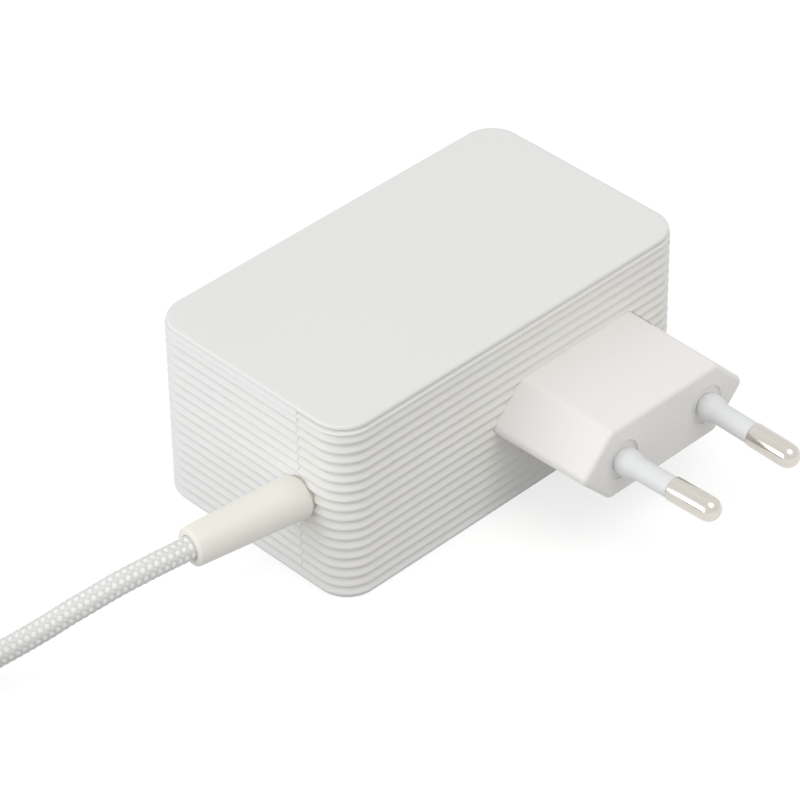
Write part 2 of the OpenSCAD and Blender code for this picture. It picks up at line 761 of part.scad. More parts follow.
// Folded film between the soldered side and the floor, turned up at both ends
sheet_t = 0.3;
sheet_end_gap = 0.8;
sheet_side_gap = 2;
sheet_low = wall + slack;
sheet_high = board_low - 0.3;
module insulating_sheet() {
    l = 2 * (inner_x - sheet_end_gap);
    w = 2 * (inner_y - sheet_side_gap);
    color("Beige") difference() {
        translate([-l / 2, -w / 2, sheet_low]) cube([l, w, sheet_high - sheet_low]);
        translate([-l / 2 + sheet_t, -w / 2 - 1, sheet_low + sheet_t])
            cube([l - 2 * sheet_t, w + 2, board_gap]);
        for (sx = [-1, 1], sy = [-1, 1])
            translate([sx * post_x, sy * post_y, wall])
                cylinder(r = post_r + 2 * slack, h = board_gap, $fn = 32);
    }
}

// Aluminium sheet over the parts, turned down behind them
spreader_t = 0.8;
spreader_gap = 0.4;
spreader_z = inner_top - spreader_gap - spreader_t;
spreader_left = -24;
spreader_right = 31.5;
spreader_front = -13.5;
spreader_low = board_top + 2;
module heat_spreader() {
    back = inner_y - spreader_gap;
    l = spreader_right - spreader_left;
    color("Silver") {
        translate([spreader_left, spreader_front, spreader_z])
            cube([l, back - spreader_front, spreader_t]);
        translate([spreader_left, back - spreader_t, spreader_low])
            cube([l, spreader_t, spreader_z - spreader_low + 0.1]);
    }
}

pad_l = 20;
pad_w = 16;
module thermal_pad() {
    low = part_z + core_h + 0.02;
    color("SteelBlue") translate([transformer_at[0], transformer_at[1], low])
        slab(pad_l, pad_w, spreader_z - low - 0.02, 1);
}

fuse_size = [8.4, 4, 7];
module fuse() {
    color("SaddleBrown") {
        translate([fuse_at[0], fuse_at[1], part_z])
            slab(fuse_size[0], fuse_size[1], fuse_size[2], 0.6);
        legs(fuse_legs, part_z + 1);
    }
}

// A disc that stands on edge, its middle at a height above the board
module upright_disc(at, r, t, height) {
    translate([at[0], at[1] + t / 2, part_z + height]) rotate([90, 0, 0])
        cylinder(r = r, h = t, $fn = medium);
}

thermistor_r = 4.5;
thermistor_t = 3.6;
thermistor_height = 5.6;
module inrush_thermistor() {
    color("DarkSlateGray") {
        upright_disc(thermistor_at, thermistor_r, thermistor_t, thermistor_height);
        legs(thermistor_legs, part_z + thermistor_height - 0.6);
    }
}

x_cap_size = [13, 6, 12];
module x_capacitor() {
    color("Gold") {
        translate([x_cap_at[0], x_cap_at[1], part_z])
            slab(x_cap_size[0], x_cap_size[1], x_cap_size[2], 0.5);
        legs(x_cap_legs, part_z + 1);
    }
}

// A ring core that stands on edge, its bore along Y
choke_r = 6;
choke_bore_r = 2.6;
choke_t = 4.4;
choke_z = part_z + choke_r + 1.2;
module choke_core() {
    color("DimGray") translate([choke_at[0], choke_at[1] + choke_t / 2, choke_z])
        rotate([90, 0, 0]) difference() {
            cylinder(r = choke_r, h = choke_t, $fn = medium);
            translate([0, 0, -1]) cylinder(r = choke_bore_r, h = choke_t + 2, $fn = medium);
        }
}

// Seven wraps of wire on each side of the ring, and their ends down to the board
wrap_w = 0.8;
wrap_t = 0.55;
wrap_turn = 17;
module choke_windings() {
    ring_w = choke_r - choke_bore_r;
    over = 2 * wrap_t + slack;
    color("OrangeRed") {
        for (side = [0, 180], k = [-3 : 3])
            translate([choke_at[0], choke_at[1], choke_z]) rotate([0, side + k * wrap_turn, 0])
                translate([choke_bore_r + ring_w / 2, 0, 0]) difference() {
                    cube([ring_w + over, choke_t + over, wrap_w], center = true);
                    cube([ring_w + slack, choke_t + slack, wrap_w + 1], center = true);
                }
        legs(choke_legs, choke_z);
    }
}

bridge_size = [14.6, 3.4, 10.6];
bridge_lift = 2;
module bridge_rectifier() {
    color("Black") {
        translate([bridge_at[0], bridge_at[1], part_z + bridge_lift])
            slab(bridge_size[0], bridge_size[1], bridge_size[2], 0.4);
        legs(bridge_legs, part_z + bridge_lift + 1);
    }
}

// An aluminium can with a rolled groove near its foot and a rim round its lid
can_groove = 0.5;
can_groove_z = 1.9;
can_rim = 0.3;
module can(at, r, h) {
    translate([at[0], at[1], part_z]) rotate_extrude($fn = medium)
        polygon([
            [0, 0], [r, 0], [r, can_groove_z - can_groove],
            [r - can_groove, can_groove_z], [r, can_groove_z + can_groove],
            [r, h - can_groove], [r - can_groove, h], [r - 2 * can_groove, h],
            [r - 2 * can_groove - 0.2, h - can_rim], [0, h - can_rim]]);
}

module bulk_capacitor() {
    color("MidnightBlue") {
        can(bulk_at, bulk_r, bulk_h);
        legs(bulk_legs, part_z + 1);
    }
}

// Two E halves that meet round the bobbin's hollow
core_l = 21;
core_w = 19;
core_depth = 9;
core_lift = 0.4;
outer_leg = 4.2;
centre_leg = 6;
yoke = 4.4;
window_x = (core_l - 2 * outer_leg - centre_leg) / 2;
module transformer_core() {
    h = core_h - core_lift;
    color("DimGray")
        translate([transformer_at[0], transformer_at[1], part_z + core_lift]) difference() {
            translate([-core_l / 2, -core_depth / 2, 0]) cube([core_l, core_depth, h]);
            for (s = [-1, 1])
                translate([s * (centre_leg + window_x) / 2 - window_x / 2, -core_depth / 2 - 1, yoke])
                    cube([window_x, core_depth + 2, h - 2 * yoke]);
        }
}

// The bobbin's two cheeks, its hollow post and the pin rails
cheek_t = 0.8;
post_t = 0.7;
rail_w = 3.8;
bobbin_low = part_z + core_lift + yoke + slack;
bobbin_high = part_z + core_h - yoke - slack;
hollow = [centre_leg + 2 * slack, core_depth + 2 * slack];
module transformer_bobbin() {
    h = bobbin_high - bobbin_low;
    color("Black") {
        translate([transformer_at[0], transformer_at[1], 0]) difference() {
            union() {
                for (z = [bobbin_low, bobbin_high - cheek_t]) translate([0, 0, z])
                    slab(centre_leg + 2 * window_x - 0.3, core_w, cheek_t, 1.5);
                translate([0, 0, bobbin_low])
                    slab(hollow[0] + 2 * post_t, hollow[1] + 2 * post_t, h, 0.6);
            }
            translate([-hollow[0] / 2, -hollow[1] / 2, bobbin_low - 1])
                cube([hollow[0], hollow[1], h + 2]);
        }
        for (s = [-1, 1])
            translate([transformer_at[0] - core_l / 2,
                       transformer_at[1] + s * bobbin_row - rail_w / 2, part_z])
                cube([core_l, rail_w, bobbin_low - part_z + 0.2]);
        legs(transformer_legs, part_z + 1);
    }
}

module transformer_winding() {
    low = bobbin_low + cheek_t + 0.05;
    h = bobbin_high - cheek_t - 0.05 - low;
    post_l = hollow[0] + 2 * post_t + 2 * slack;
    post_w = hollow[1] + 2 * post_t + 2 * slack;
    color("Yellow") translate([transformer_at[0], transformer_at[1], low]) difference() {
        slab(centre_leg + 2 * window_x - 0.7, core_w - 1, h, 2);
        translate([-post_l / 2, -post_w / 2, -1]) cube([post_l, post_w, h + 2]);
    }
}

// A package with a metal tab behind it, standing on three legs
package_w = 10;
package_size = [package_w, 2.9, 9];
package_front = 1.4;
package_lift = 2.5;
tab_size = [package_w, 1.3, 13.6];
tab_y = 0.6;
tab_lift = 4;
tab_hole_r = 1.8;
tab_hole_z = 14.6;
module upright_package(at, leg_places) {
    color("Black") {
        translate([at[0] - package_w / 2, at[1] - package_front, part_z + package_lift])
            cube(package_size);
        legs(leg_places, part_z + package_lift + 0.5);
    }
    color("Silver") difference() {
        translate([at[0] - package_w / 2, at[1] + tab_y, part_z + tab_lift]) cube(tab_size);
        translate([at[0], at[1] + 3, part_z + tab_hole_z]) rotate([90, 0, 0])
            cylinder(r = tab_hole_r, h = 4, $fn = 32);
    }
}

module switching_transistor() {
    upright_package(transistor_at, transistor_legs);
}

// A plate behind a package, with a hole for its screw
sink_t = 1.6;
sink_y = tab_y + tab_size[1] + 0.02;
sink_lift = 0.4;
primary_sink = [13.2, 19.4];
output_sink = [12, 18];
module heatsink(at, size) {
    color("Silver") difference() {
        translate([at[0] - size[0] / 2, at[1] + sink_y, part_z + sink_lift])
            cube([size[0], sink_t, size[1]]);
        translate([at[0], at[1] + 5, part_z + tab_hole_z]) rotate([90, 0, 0])
            cylinder(r = tab_hole_r - 2 * slack, h = 5, $fn = 32);
    }
}

module primary_heatsink() {
    heatsink(transistor_at, primary_sink);
}

y_cap_r = 4;
y_cap_t = 3.4;
y_cap_height = 5;
module y_capacitor() {
    color("RoyalBlue") {
        upright_disc(y_cap_at, y_cap_r, y_cap_t, y_cap_height);
        legs(y_cap_legs, part_z + y_cap_height - 1);
    }
}

opto_size = [4.6, 6.4, 3.5];
opto_arm_z = 1.4;
opto_arm_t = 0.4;
module optocoupler() {
    color("Black") {
        translate([opto_at[0], opto_at[1], part_z])
            slab(opto_size[0], opto_size[1], opto_size[2], 0.3);
        legs(opto_legs, part_z + opto_arm_z + opto_arm_t);
        for (q = opto_legs)
            translate([q[0] - leg_r, min(q[1], opto_at[1]), part_z + opto_arm_z])
                cube([2 * leg_r, abs(q[1] - opto_at[1]), opto_arm_t]);
    }
}

// A surface-mounted chip under the board
chip_size = [4.9, 3.9, 1.3];
chip_pitch = 1.27;
chip_lead = [0.4, 1.1, 0.88];
chip_lead_y = 2.4;
module controller_chip() {
    color("Black") {
        translate([chip_at[0], chip_at[1], board_low - chip_size[2] - 0.2])
            slab(chip_size[0], chip_size[1], chip_size[2], 0.2);
        for (s = [-1, 1], i = [-1.5 : 1.5])
            translate([chip_at[0] + i * chip_pitch - chip_lead[0] / 2,
                       chip_at[1] + s * chip_lead_y - chip_lead[1] / 2,
                       board_low - chip_lead[2] - 0.02])
                cube(chip_lead);
    }
}

supply_cap_r = 2.5;
supply_cap_h = 10;
module supply_capacitor() {
    color("MidnightBlue") {
        can(supply_cap_at, supply_cap_r, supply_cap_h);
        legs(supply_cap_legs, part_z + 1);
    }
}

// A resistor that lies above the board, its wires bent down at both ends
snubber_r = 1.3;
snubber_l = 4.8;
snubber_height = 1.7;
module snubber_resistor() {
    z = part_z + snubber_height;
    color("Khaki") {
        translate([snubber_at[0] - snubber_l / 2, snubber_at[1], z]) rotate([0, 90, 0])
            cylinder(r = snubber_r, h = snubber_l, $fn = 32);
        translate([snubber_at[0] - snubber_pitch / 2, snubber_at[1], z]) rotate([0, 90, 0])
            cylinder(r = leg_r - 0.05, h = snubber_pitch, $fn = 16);
        legs(snubber_legs, z);
    }
}

module output_rectifier() {
    upright_package(rectifier_at, rectifier_legs);
}

module output_heatsink() {
    heatsink(rectifier_at, output_sink);
}

out_cap_r = 4;
out_cap_h = 13;
module output_capacitor_front() {
    color("Silver") {
        can(out_cap_front_at, out_cap_r, out_cap_h);
        legs(out_cap_front_legs, part_z + 1);
    }
}

module output_capacitor_rear() {
    color("Silver") {
        can(out_cap_rear_at, out_cap_r, out_cap_h);
        legs(out_cap_rear_legs, part_z + 1);
    }
}

// A ferrite drum with a waist of wire
drum_r = 2.9;
drum_waist_r = 2.3;
drum_h = 8;
drum_flange = 1.2;
module output_choke() {
    waist_high = drum_h - drum_flange;
    color("DimGray") {
        translate([out_choke_at[0], out_choke_at[1], part_z]) rotate_extrude($fn = medium)
            polygon([
                [0, 0], [drum_r, 0], [drum_r, drum_flange], [drum_waist_r, drum_flange + slack],
                [drum_waist_r, waist_high - slack], [drum_r, waist_high], [drum_r, drum_h],
                [0, drum_h]]);
        legs(out_choke_legs, part_z + 1);
    }
}

rear_case();
front_cover();
plug_body();
pin_left();
pin_right();
pin_sleeve_left();
pin_sleeve_right();
mains_contact_left();
mains_contact_right();
strain_relief();
cord();
cord_coil();
cord_tail();
cord_tie();
connector_grip();
connector_barrel();
connector_insulator();
connector_contact();
lead_positive();
lead_negative();
main_board();
insulating_sheet();
heat_spreader();
thermal_pad();
fuse();
inrush_thermistor();
x_capacitor();
choke_core();
choke_windings();
bridge_rectifier();
bulk_capacitor();
transformer_core();
transformer_bobbin();
transformer_winding();
switching_transistor();
primary_heatsink();
y_capacitor();
optocoupler();
controller_chip();
supply_capacitor();
snubber_resistor();
output_rectifier();
output_heatsink();
output_capacitor_front();
output_capacitor_rear();
output_choke();
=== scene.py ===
"""Looks of a laptop power adapter: ribbed housing, fixed two-pin plug, braided lead and coil."""

import json
import math

import bmesh
import bpy
from bpy.props import FloatProperty, FloatVectorProperty, IntProperty, PointerProperty
from mathutils import Matrix, Vector


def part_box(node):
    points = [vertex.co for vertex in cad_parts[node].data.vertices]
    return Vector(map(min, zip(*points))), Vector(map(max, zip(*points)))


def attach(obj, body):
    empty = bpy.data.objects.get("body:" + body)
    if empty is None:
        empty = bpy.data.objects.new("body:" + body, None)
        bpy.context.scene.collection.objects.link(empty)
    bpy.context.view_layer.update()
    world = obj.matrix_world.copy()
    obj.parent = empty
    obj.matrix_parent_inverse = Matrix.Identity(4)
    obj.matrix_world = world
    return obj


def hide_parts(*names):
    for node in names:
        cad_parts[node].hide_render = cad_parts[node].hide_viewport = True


bl_info = {
    "name": "Plug-in power adapter",
    "version": (1, 0, 0),
    "blender": (4, 5, 0),
    "location": "3D View > Sidebar > Adapter",
    "description": "Builds a ribbed mains adapter with a fixed plug and a braided lead",
    "category": "Object",
}

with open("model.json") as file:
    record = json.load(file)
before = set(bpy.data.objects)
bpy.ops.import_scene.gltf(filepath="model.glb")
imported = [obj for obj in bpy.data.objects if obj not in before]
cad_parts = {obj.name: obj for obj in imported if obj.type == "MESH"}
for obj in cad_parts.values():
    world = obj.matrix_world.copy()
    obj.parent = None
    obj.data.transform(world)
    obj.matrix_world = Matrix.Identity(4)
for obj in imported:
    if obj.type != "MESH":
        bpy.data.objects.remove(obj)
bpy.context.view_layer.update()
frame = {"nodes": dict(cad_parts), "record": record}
CASE_LOW, CASE_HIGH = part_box("rear_case")
MM = 0.001
ROOT = "root"

# ---- sizes that the pieces share, in metres ----
BODY_L = CASE_HIGH.x - CASE_LOW.x
BODY_W = 2 * CASE_HIGH.y
BODY_H = CASE_HIGH.z
END_X = BODY_L / 2
FRONT_Y = -BODY_W / 2
WALL = 2.2 * MM
SEAM_GAP = 0.03 * MM
COVER_DROP = 0.15 * MM
SEAM_Y = FRONT_Y + 9.9 * MM
INNER_X = END_X - WALL
INNER_Y = BODY_W / 2 - WALL
INNER_TOP = BODY_H - WALL
INNER_R = 3.4 * MM
PLUG_X = 12.7 * MM
PLUG_Z = BODY_H / 2 - 0.2 * MM
PLUG_OUT = 18.5 * MM
PLUG_FACE_Y = FRONT_Y - PLUG_OUT
COVER_INNER_Y = -INNER_Y - 0.12 * MM
PIN_SPACING = 18.6 * MM
PIN_OUT = 19 * MM
PIN_R = 2 * MM
PIN_LEAN = math.atan(0.55 / 19)
LEAD_Z = BODY_H / 2
BOOT_L = 19.7 * MM
BOOT_TURN = math.radians(7.5)
NECK_R = 3.2 * MM
HELD_L = 4 * MM
FREED_L = 1 * MM
CORD_R = 1.9 * MM
PAST = 1 * MM  # how far a cutting shape reaches past what it cuts


# ---- sizes and colours that a user can change ----
class HousingSizes(bpy.types.PropertyGroup):
    """Sizes of the ribbed housing"""

    ribs: IntProperty(name="Ribs", description="Ribs up the sides", default=18, min=6)
    rib_depth: FloatProperty(
        name="Rib depth", description="Depth of the grooves", default=0.48 * MM, unit="LENGTH"
    )
    corner: FloatProperty(
        name="Corner", description="Radius of the upright corners", default=5.6 * MM, unit="LENGTH"
    )
    top_edge: FloatProperty(
        name="Top edge", description="Height of the top plate's edge", default=0.7 * MM, unit="LENGTH"
    )
    edge_round: FloatProperty(
        name="Edge round", description="Rounding of the top plate", default=0.35 * MM, unit="LENGTH"
    )
    top_inset: FloatProperty(
        name="Top inset", description="Step of the top plate", default=0.25 * MM, unit="LENGTH"
    )


class BraidSizes(bpy.types.PropertyGroup):
    """Sizes of the lead's braid"""

    strands: IntProperty(name="Strands", description="Strands in each direction", default=8, min=3)
    lay: FloatProperty(
        name="Lay", description="Length of one turn of a strand", default=8.95 * MM, unit="LENGTH"
    )
    relief: FloatProperty(
        name="Relief", description="Height of a strand over its neighbours", default=0.17 * MM,
        unit="LENGTH",
    )


class FinishColours(bpy.types.PropertyGroup):
    """Colours of the visible pieces"""

    housing: FloatVectorProperty(
        name="Housing", description="Ribbed housing", subtype="COLOR", default=(0.83, 0.83, 0.825)
    )
    # Partly painted light: the housing's white, tinted yellower than the rear case to stand in for warm
    # light on the front faces.
    cover: FloatVectorProperty(
        name="Front cover", description="Front half of the housing", subtype="COLOR",
        default=(0.83, 0.825, 0.795),
    )
    plug: FloatVectorProperty(
        name="Plug", description="Body of the plug", subtype="COLOR", default=(0.90, 0.885, 0.865)
    )
    sleeve: FloatVectorProperty(
        name="Pin sleeve", description="Sleeves of the pins", subtype="COLOR",
        default=(0.80, 0.81, 0.82),
    )
    boot: FloatVectorProperty(
        name="Strain relief", description="Tapered sleeve of the lead", subtype="COLOR",
        default=(0.88, 0.87, 0.80),
    )
    light_yarn: FloatVectorProperty(
        name="Light yarn", description="Strands that wind one way", subtype="COLOR",
        default=(0.95, 0.95, 0.94),
    )
    # Painted shade: a darker copy of the yarn's white for the strands that wind the other way, standing
    # in for their weaker sheen.
    painted_shade_yarn: FloatVectorProperty(
        name="Shaded yarn", description="Strands that wind the other way", subtype="COLOR",
        default=(0.80, 0.81, 0.79),
    )


# ---- places that the lead passes, in millimetres and degrees ----
CORD_ROUTE = [
    (-60.6, -8, 16.4), (-64.4, -7.1, 15.9), (-68.2, -5.9, 15), (-71.8, -4.6, 13.7),
    (-75.3, -3.1, 12.2), (-78.7, -1.6, 10.5), (-82, 0, 8.9), (-85.2, 1.7, 7.3),
    (-88.3, 3.4, 5.8), (-91.5, 5.3, 4.5), (-94.8, 7.3, 3.6), (-98.2, 9.4, 2.9),
    (-101.6, 11.4, 2.5), (-105.1, 13.4, 2.2), (-108.6, 15.2, 2.1), (-112.2, 16.9, 2.1),
    (-115.9, 18.5, 2.2), (-119.6, 20, 2.3),
]
COIL_CENTRE = (-138, -4)
COIL_OUTER_R = 28.2
COIL_STEP = 4.3
COIL_LOW = 2.5
COIL_LAYERS = 4
COIL_START = 75
COIL_SWEEP = 12 * 360 - 15
CLIMB_SWEEP = 180
COIL_TOP = COIL_LOW + (COIL_LAYERS - 1) * COIL_STEP
TAIL_SWEEP = 120
TAIL_SHIFT = 5
SHIFT_SWEEP = 75
DROP_START = 25
TAIL_STRAIGHT = (0, -8, 0)
GRIP_DEPTH = (0, -4, 0)
CONNECTOR_Z = 4.5


# ---- mesh helpers ----
def closed_mesh(bm):
    """The bmesh as a mesh, with doubles merged and its faces turned outwards."""
    bmesh.ops.remove_doubles(bm, verts=bm.verts, dist=1e-8)
    bmesh.ops.recalc_face_normals(bm, faces=bm.faces)
    mesh = bpy.data.meshes.new("shape")
    bm.to_mesh(mesh)
    bm.free()
    return mesh


def add_piece(name, mesh, materials, nodes, sharp=36):
    """Shows a finished mesh as a piece that rides on the adapter and stands for the given nodes."""
    mesh.name = name
    for material in materials:
        mesh.materials.append(material)
    mesh.shade_smooth()
    mesh.set_sharp_from_angle(angle=math.radians(sharp))
    obj = bpy.data.objects.new(name, mesh)
    bpy.context.scene.collection.objects.link(obj)
    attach(obj, ROOT)
    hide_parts(*nodes)
    return obj


def combined(base, steps):
    """Cuts, keeps or adds closed meshes one after the other, and returns the mesh that is left."""
    objects = [bpy.data.objects.new("work", m) for m in [base] + [s[1] for s in steps]]
    for obj in objects:
        bpy.context.scene.collection.objects.link(obj)
    for (operation, _), other in zip(steps, objects[1:]):
        change = objects[0].modifiers.new("step", "BOOLEAN")
        change.operation = operation
        change.solver = "EXACT"
        change.object = other
    graph = bpy.context.evaluated_depsgraph_get()
    mesh = bpy.data.meshes.new_from_object(objects[0].evaluated_get(graph))
    for obj in objects:
        old = obj.data
        bpy.data.objects.remove(obj)
        bpy.data.meshes.remove(old)
    bm = bmesh.new()
    bm.from_mesh(mesh)
    bmesh.ops.remove_doubles(bm, verts=bm.verts, dist=1e-7)
    bmesh.ops.dissolve_degenerate(bm, edges=bm.edges, dist=1e-7)
    bm.to_mesh(mesh)
    bm.free()
    return mesh


def chain(bm, points):
    """A line of vertices and edges through points."""
    verts = [bm.verts.new(p) for p in points]
    edges = [bm.edges.new(pair) for pair in zip(verts, verts[1:])]
    return verts, edges


def turned(profile, place=Matrix(), steps=64):
    """A solid turned about Z from (radius, height) points, which end on the axis or where they began."""
    bm = bmesh.new()
    verts, edges = chain(bm, [(r, 0, z) for r, z in profile])
    bmesh.ops.spin(
        bm, geom=verts + edges, cent=(0, 0, 0), axis=(0, 0, 1), angle=2 * math.pi, steps=steps,
        use_merge=True,
    )
    bmesh.ops.remove_doubles(bm, verts=bm.verts, dist=1e-8)
    bmesh.ops.transform(bm, matrix=place, verts=bm.verts)
    return closed_mesh(bm)


def arc(centre, radius, start, end, steps):
    """Points on an arc between two angles in degrees."""
    angles = [math.radians(start + (end - start) * k / steps) for k in range(steps + 1)]
    return [(centre[0] + radius * math.cos(a), centre[1] + radius * math.sin(a)) for a in angles]


def rounded_outline(centres, radius, steps=6):
    """The outline round the corner centres of a convex shape, given anticlockwise."""
    points = []
    for before, centre, after in zip(centres[-1:] + centres[:-1], centres, centres[1:] + centres[:1]):
        start = math.atan2(centre[1] - before[1], centre[0] - before[0]) - math.pi / 2
        end = math.atan2(after[1] - centre[1], after[0] - centre[0]) - math.pi / 2
        turn = (end - start) % (2 * math.pi)
        points += arc(centre, radius, math.degrees(start), math.degrees(start + turn), steps)
    return points


def lofted(rings):
    """A closed solid through rings of equally many points, with flat ends."""
    bm = bmesh.new()
    first = bm.faces.new([bm.verts.new(p) for p in rings[0]])
    face = first
    for ring in rings[1:]:
        made = bmesh.ops.extrude_face_region(bm, geom=[face])
        new = next(g for g in made["geom"] if isinstance(g, bmesh.types.BMFace))
        for vert, place in zip(new.verts, ring):
            vert.co = place
        if face is not first:
            bmesh.ops.delete(bm, geom=[face], context="FACES_ONLY")
        face = new
    return closed_mesh(bm)


def rounded_block(length, width, radius, low, high):
    """An upright block with round corners, centred on the Z axis."""
    x, y = length / 2 - radius, width / 2 - radius
    outline = rounded_outline([(x, -y), (x, y), (-x, y), (-x, -y)], radius, 8)
    return lofted([[(*point, z) for point in outline] for z in (low, high)])


def box_between(low, high):
    """A plain cutting block between two corners."""
    bm = bmesh.new()
    size = Vector(high) - Vector(low)
    place = Matrix.Translation((Vector(high) + Vector(low)) / 2) @ Matrix.Diagonal((*size, 1))
    bmesh.ops.create_cube(bm, size=1, matrix=place)
    return closed_mesh(bm)


def rod(radius, start, end):
    """A closed cylinder between two points."""
    along = Vector(end) - Vector(start)
    place = Matrix.Translation(start) @ along.to_track_quat("Z", "Y").to_matrix().to_4x4()
    profile = [(0, 0), (radius, 0), (radius, along.length), (0, along.length)]
    return turned(profile, place, 48)


# ---- shader node groups and materials ----
def new_group(name, inputs, outputs):
    """A shader node group with named float inputs, and outputs given as (name, socket type)."""
    group = bpy.data.node_groups.new(name, "ShaderNodeTree")
    for label, value in inputs:
        socket = group.interface.new_socket(label, in_out="INPUT", socket_type="NodeSocketFloat")
        socket.default_value = value
    for label, kind in outputs:
        group.interface.new_socket(label, in_out="OUTPUT", socket_type=kind)
    return group, group.nodes.new("NodeGroupInput"), group.nodes.new("NodeGroupOutput")


class Maths:
    """Chains math nodes in one node tree."""

    def __init__(self, tree):
        self.tree = tree

    def __call__(self, operation, *values):
        node = self.tree.nodes.new("ShaderNodeMath")
        node.operation = operation
        for socket, value in zip(node.inputs, values):
            if isinstance(value, (int, float)):
                socket.default_value = value
            else:
                self.tree.links.new(value, socket)
        return node.outputs[0]


def moulded_group():
    """Fine grain of a spark-eroded mould, and faint flow clouds."""
    group, given, result = new_group(
        "moulded_surface",
        [("Grain scale", 9000), ("Cloud scale", 40), ("Cloud depth", 0.03), ("Roughness", 0.5)],
        [("Tone", "NodeSocketFloat"), ("Roughness", "NodeSocketFloat"), ("Height", "NodeSocketFloat")],
    )
    links, maths = group.links, Maths(group)
    place = group.nodes.new("ShaderNodeTexCoord").outputs["Object"]
    noises = {}
    for label, detail in (("Grain scale", 2), ("Cloud scale", 4)):
        noise = group.nodes.new("ShaderNodeTexNoise")
        noise.inputs["Detail"].default_value = detail
        links.new(place, noise.inputs["Vector"])
        links.new(given.outputs[label], noise.inputs["Scale"])
        noises[label] = noise.outputs["Fac"]
    cloud = maths("SUBTRACT", noises["Cloud scale"], 0.5)
    links.new(maths("MULTIPLY_ADD", cloud, given.outputs["Cloud depth"], 1), result.inputs["Tone"])
    grain_roughness, cloud_roughness = 0.12, 0.1
    grain = maths("SUBTRACT", noises["Grain scale"], 0.5)
    rough = maths("MULTIPLY_ADD", grain, grain_roughness, given.outputs["Roughness"])
    links.new(maths("MULTIPLY_ADD", cloud, cloud_roughness, rough), result.inputs["Roughness"])
    links.new(noises["Grain scale"], result.inputs["Height"])
    return group


def braid_group():
    """A plain braid on the lead's own map: U counts lays along it, V counts turns round it."""
    group, given, result = new_group(
        "braid",
        [("Strands", 8), ("Filaments", 7)],
        [("Way", "NodeSocketFloat"), ("Height", "NodeSocketFloat"), ("Filament", "NodeSocketFloat")],
    )
    links, maths = group.links, Maths(group)
    uv = group.nodes.new("ShaderNodeUVMap")
    uv.uv_map = "lead_map"
    split = group.nodes.new("ShaderNodeSeparateXYZ")
    links.new(uv.outputs[0], split.inputs[0])
    strands = given.outputs["Strands"]
    left = maths("MULTIPLY", maths("SUBTRACT", split.outputs[1], split.outputs[0]), strands)
    right = maths("MULTIPLY", maths("ADD", split.outputs[1], split.outputs[0]), strands)
    cells = [maths("ROUND", left), maths("ROUND", right)]
    offsets = [maths("SUBTRACT", left, cells[0]), maths("SUBTRACT", right, cells[1])]
    way = maths("FLOORED_MODULO", maths("ADD", *cells), 2)
    other_way = maths("SUBTRACT", 1, way)
    across = maths("ADD", maths("MULTIPLY", offsets[0], other_way), maths("MULTIPLY", offsets[1], way))
    along = maths("ADD", maths("MULTIPLY", offsets[1], other_way), maths("MULTIPLY", offsets[0], way))
    arch = maths("COSINE", maths("MULTIPLY", along, math.pi))
    crown = maths("SUBTRACT", 1, maths("POWER", maths("ABSOLUTE", maths("MULTIPLY", across, 2)), 4))
    links.new(way, result.inputs["Way"])
    links.new(maths("MULTIPLY", arch, crown), result.inputs["Height"])
    wave = maths("MULTIPLY", maths("MULTIPLY", across, 2 * math.pi), given.outputs["Filaments"])
    links.new(maths("COSINE", wave), result.inputs["Filament"])
    return group


def drawn_group():
    """Fine scratches that run along drawn or rolled metal."""
    group, given, result = new_group(
        "drawn_metal",
        [("Scratch scale", 900), ("Roughness", 0.2)],
        [("Tone", "NodeSocketFloat"), ("Roughness", "NodeSocketFloat"), ("Height", "NodeSocketFloat")],
    )
    links, maths = group.links, Maths(group)
    place = group.nodes.new("ShaderNodeTexCoord").outputs["Object"]
    stretch = group.nodes.new("ShaderNodeVectorMath")
    stretch.operation = "MULTIPLY"
    stretch.inputs[1].default_value = (1, 0.04, 1)
    links.new(place, stretch.inputs[0])
    noise = group.nodes.new("ShaderNodeTexNoise")
    noise.inputs["Detail"].default_value = 3
    links.new(stretch.outputs[0], noise.inputs["Vector"])
    links.new(given.outputs["Scratch scale"], noise.inputs["Scale"])
    scratch_tone, scratch_roughness = 0.25, 0.3
    scratch = maths("SUBTRACT", noise.outputs["Fac"], 0.5)
    links.new(maths("MULTIPLY_ADD", scratch, scratch_tone, 1), result.inputs["Tone"])
    rough = maths("MULTIPLY_ADD", scratch, scratch_roughness, given.outputs["Roughness"])
    links.new(rough, result.inputs["Roughness"])
    links.new(noise.outputs["Fac"], result.inputs["Height"])
    return group


GROUPS = {}


def group_node(tree, build, **values):
    """Places a shared node group, built once, in a material's tree with its own values."""
    if build not in GROUPS:
        GROUPS[build] = build()
    node = tree.nodes.new("ShaderNodeGroup")
    node.node_tree = GROUPS[build]
    for label, value in values.items():
        node.inputs[label.replace("_", " ")].default_value = value
    return node


def empty_material(name):
    """A material with only a Principled shader and its output."""
    material = bpy.data.materials.new(name)
    material.use_nodes = True
    tree = material.node_tree
    return material, tree, tree.nodes["Principled BSDF"]


def toned(tree, colour, tone):
    """A colour, given as three numbers or as a socket, whose brightness follows a tone."""
    mix = tree.nodes.new("ShaderNodeMix")
    mix.data_type = "RGBA"
    mix.blend_type = "MULTIPLY"
    mix.inputs["Factor"].default_value = 1
    if isinstance(colour, bpy.types.NodeSocket):
        tree.links.new(colour, mix.inputs["A"])
    else:
        mix.inputs["A"].default_value = (*colour, 1)
    tree.links.new(tone, mix.inputs["B"])
    return mix.outputs["Result"]


def bump(tree, shader, height, strength, distance):
    """Feeds a height into the shader's normal."""
    node = tree.nodes.new("ShaderNodeBump")
    node.inputs["Strength"].default_value = strength
    node.inputs["Distance"].default_value = distance
    tree.links.new(height, node.inputs["Height"])
    tree.links.new(node.outputs[0], shader.inputs["Normal"])


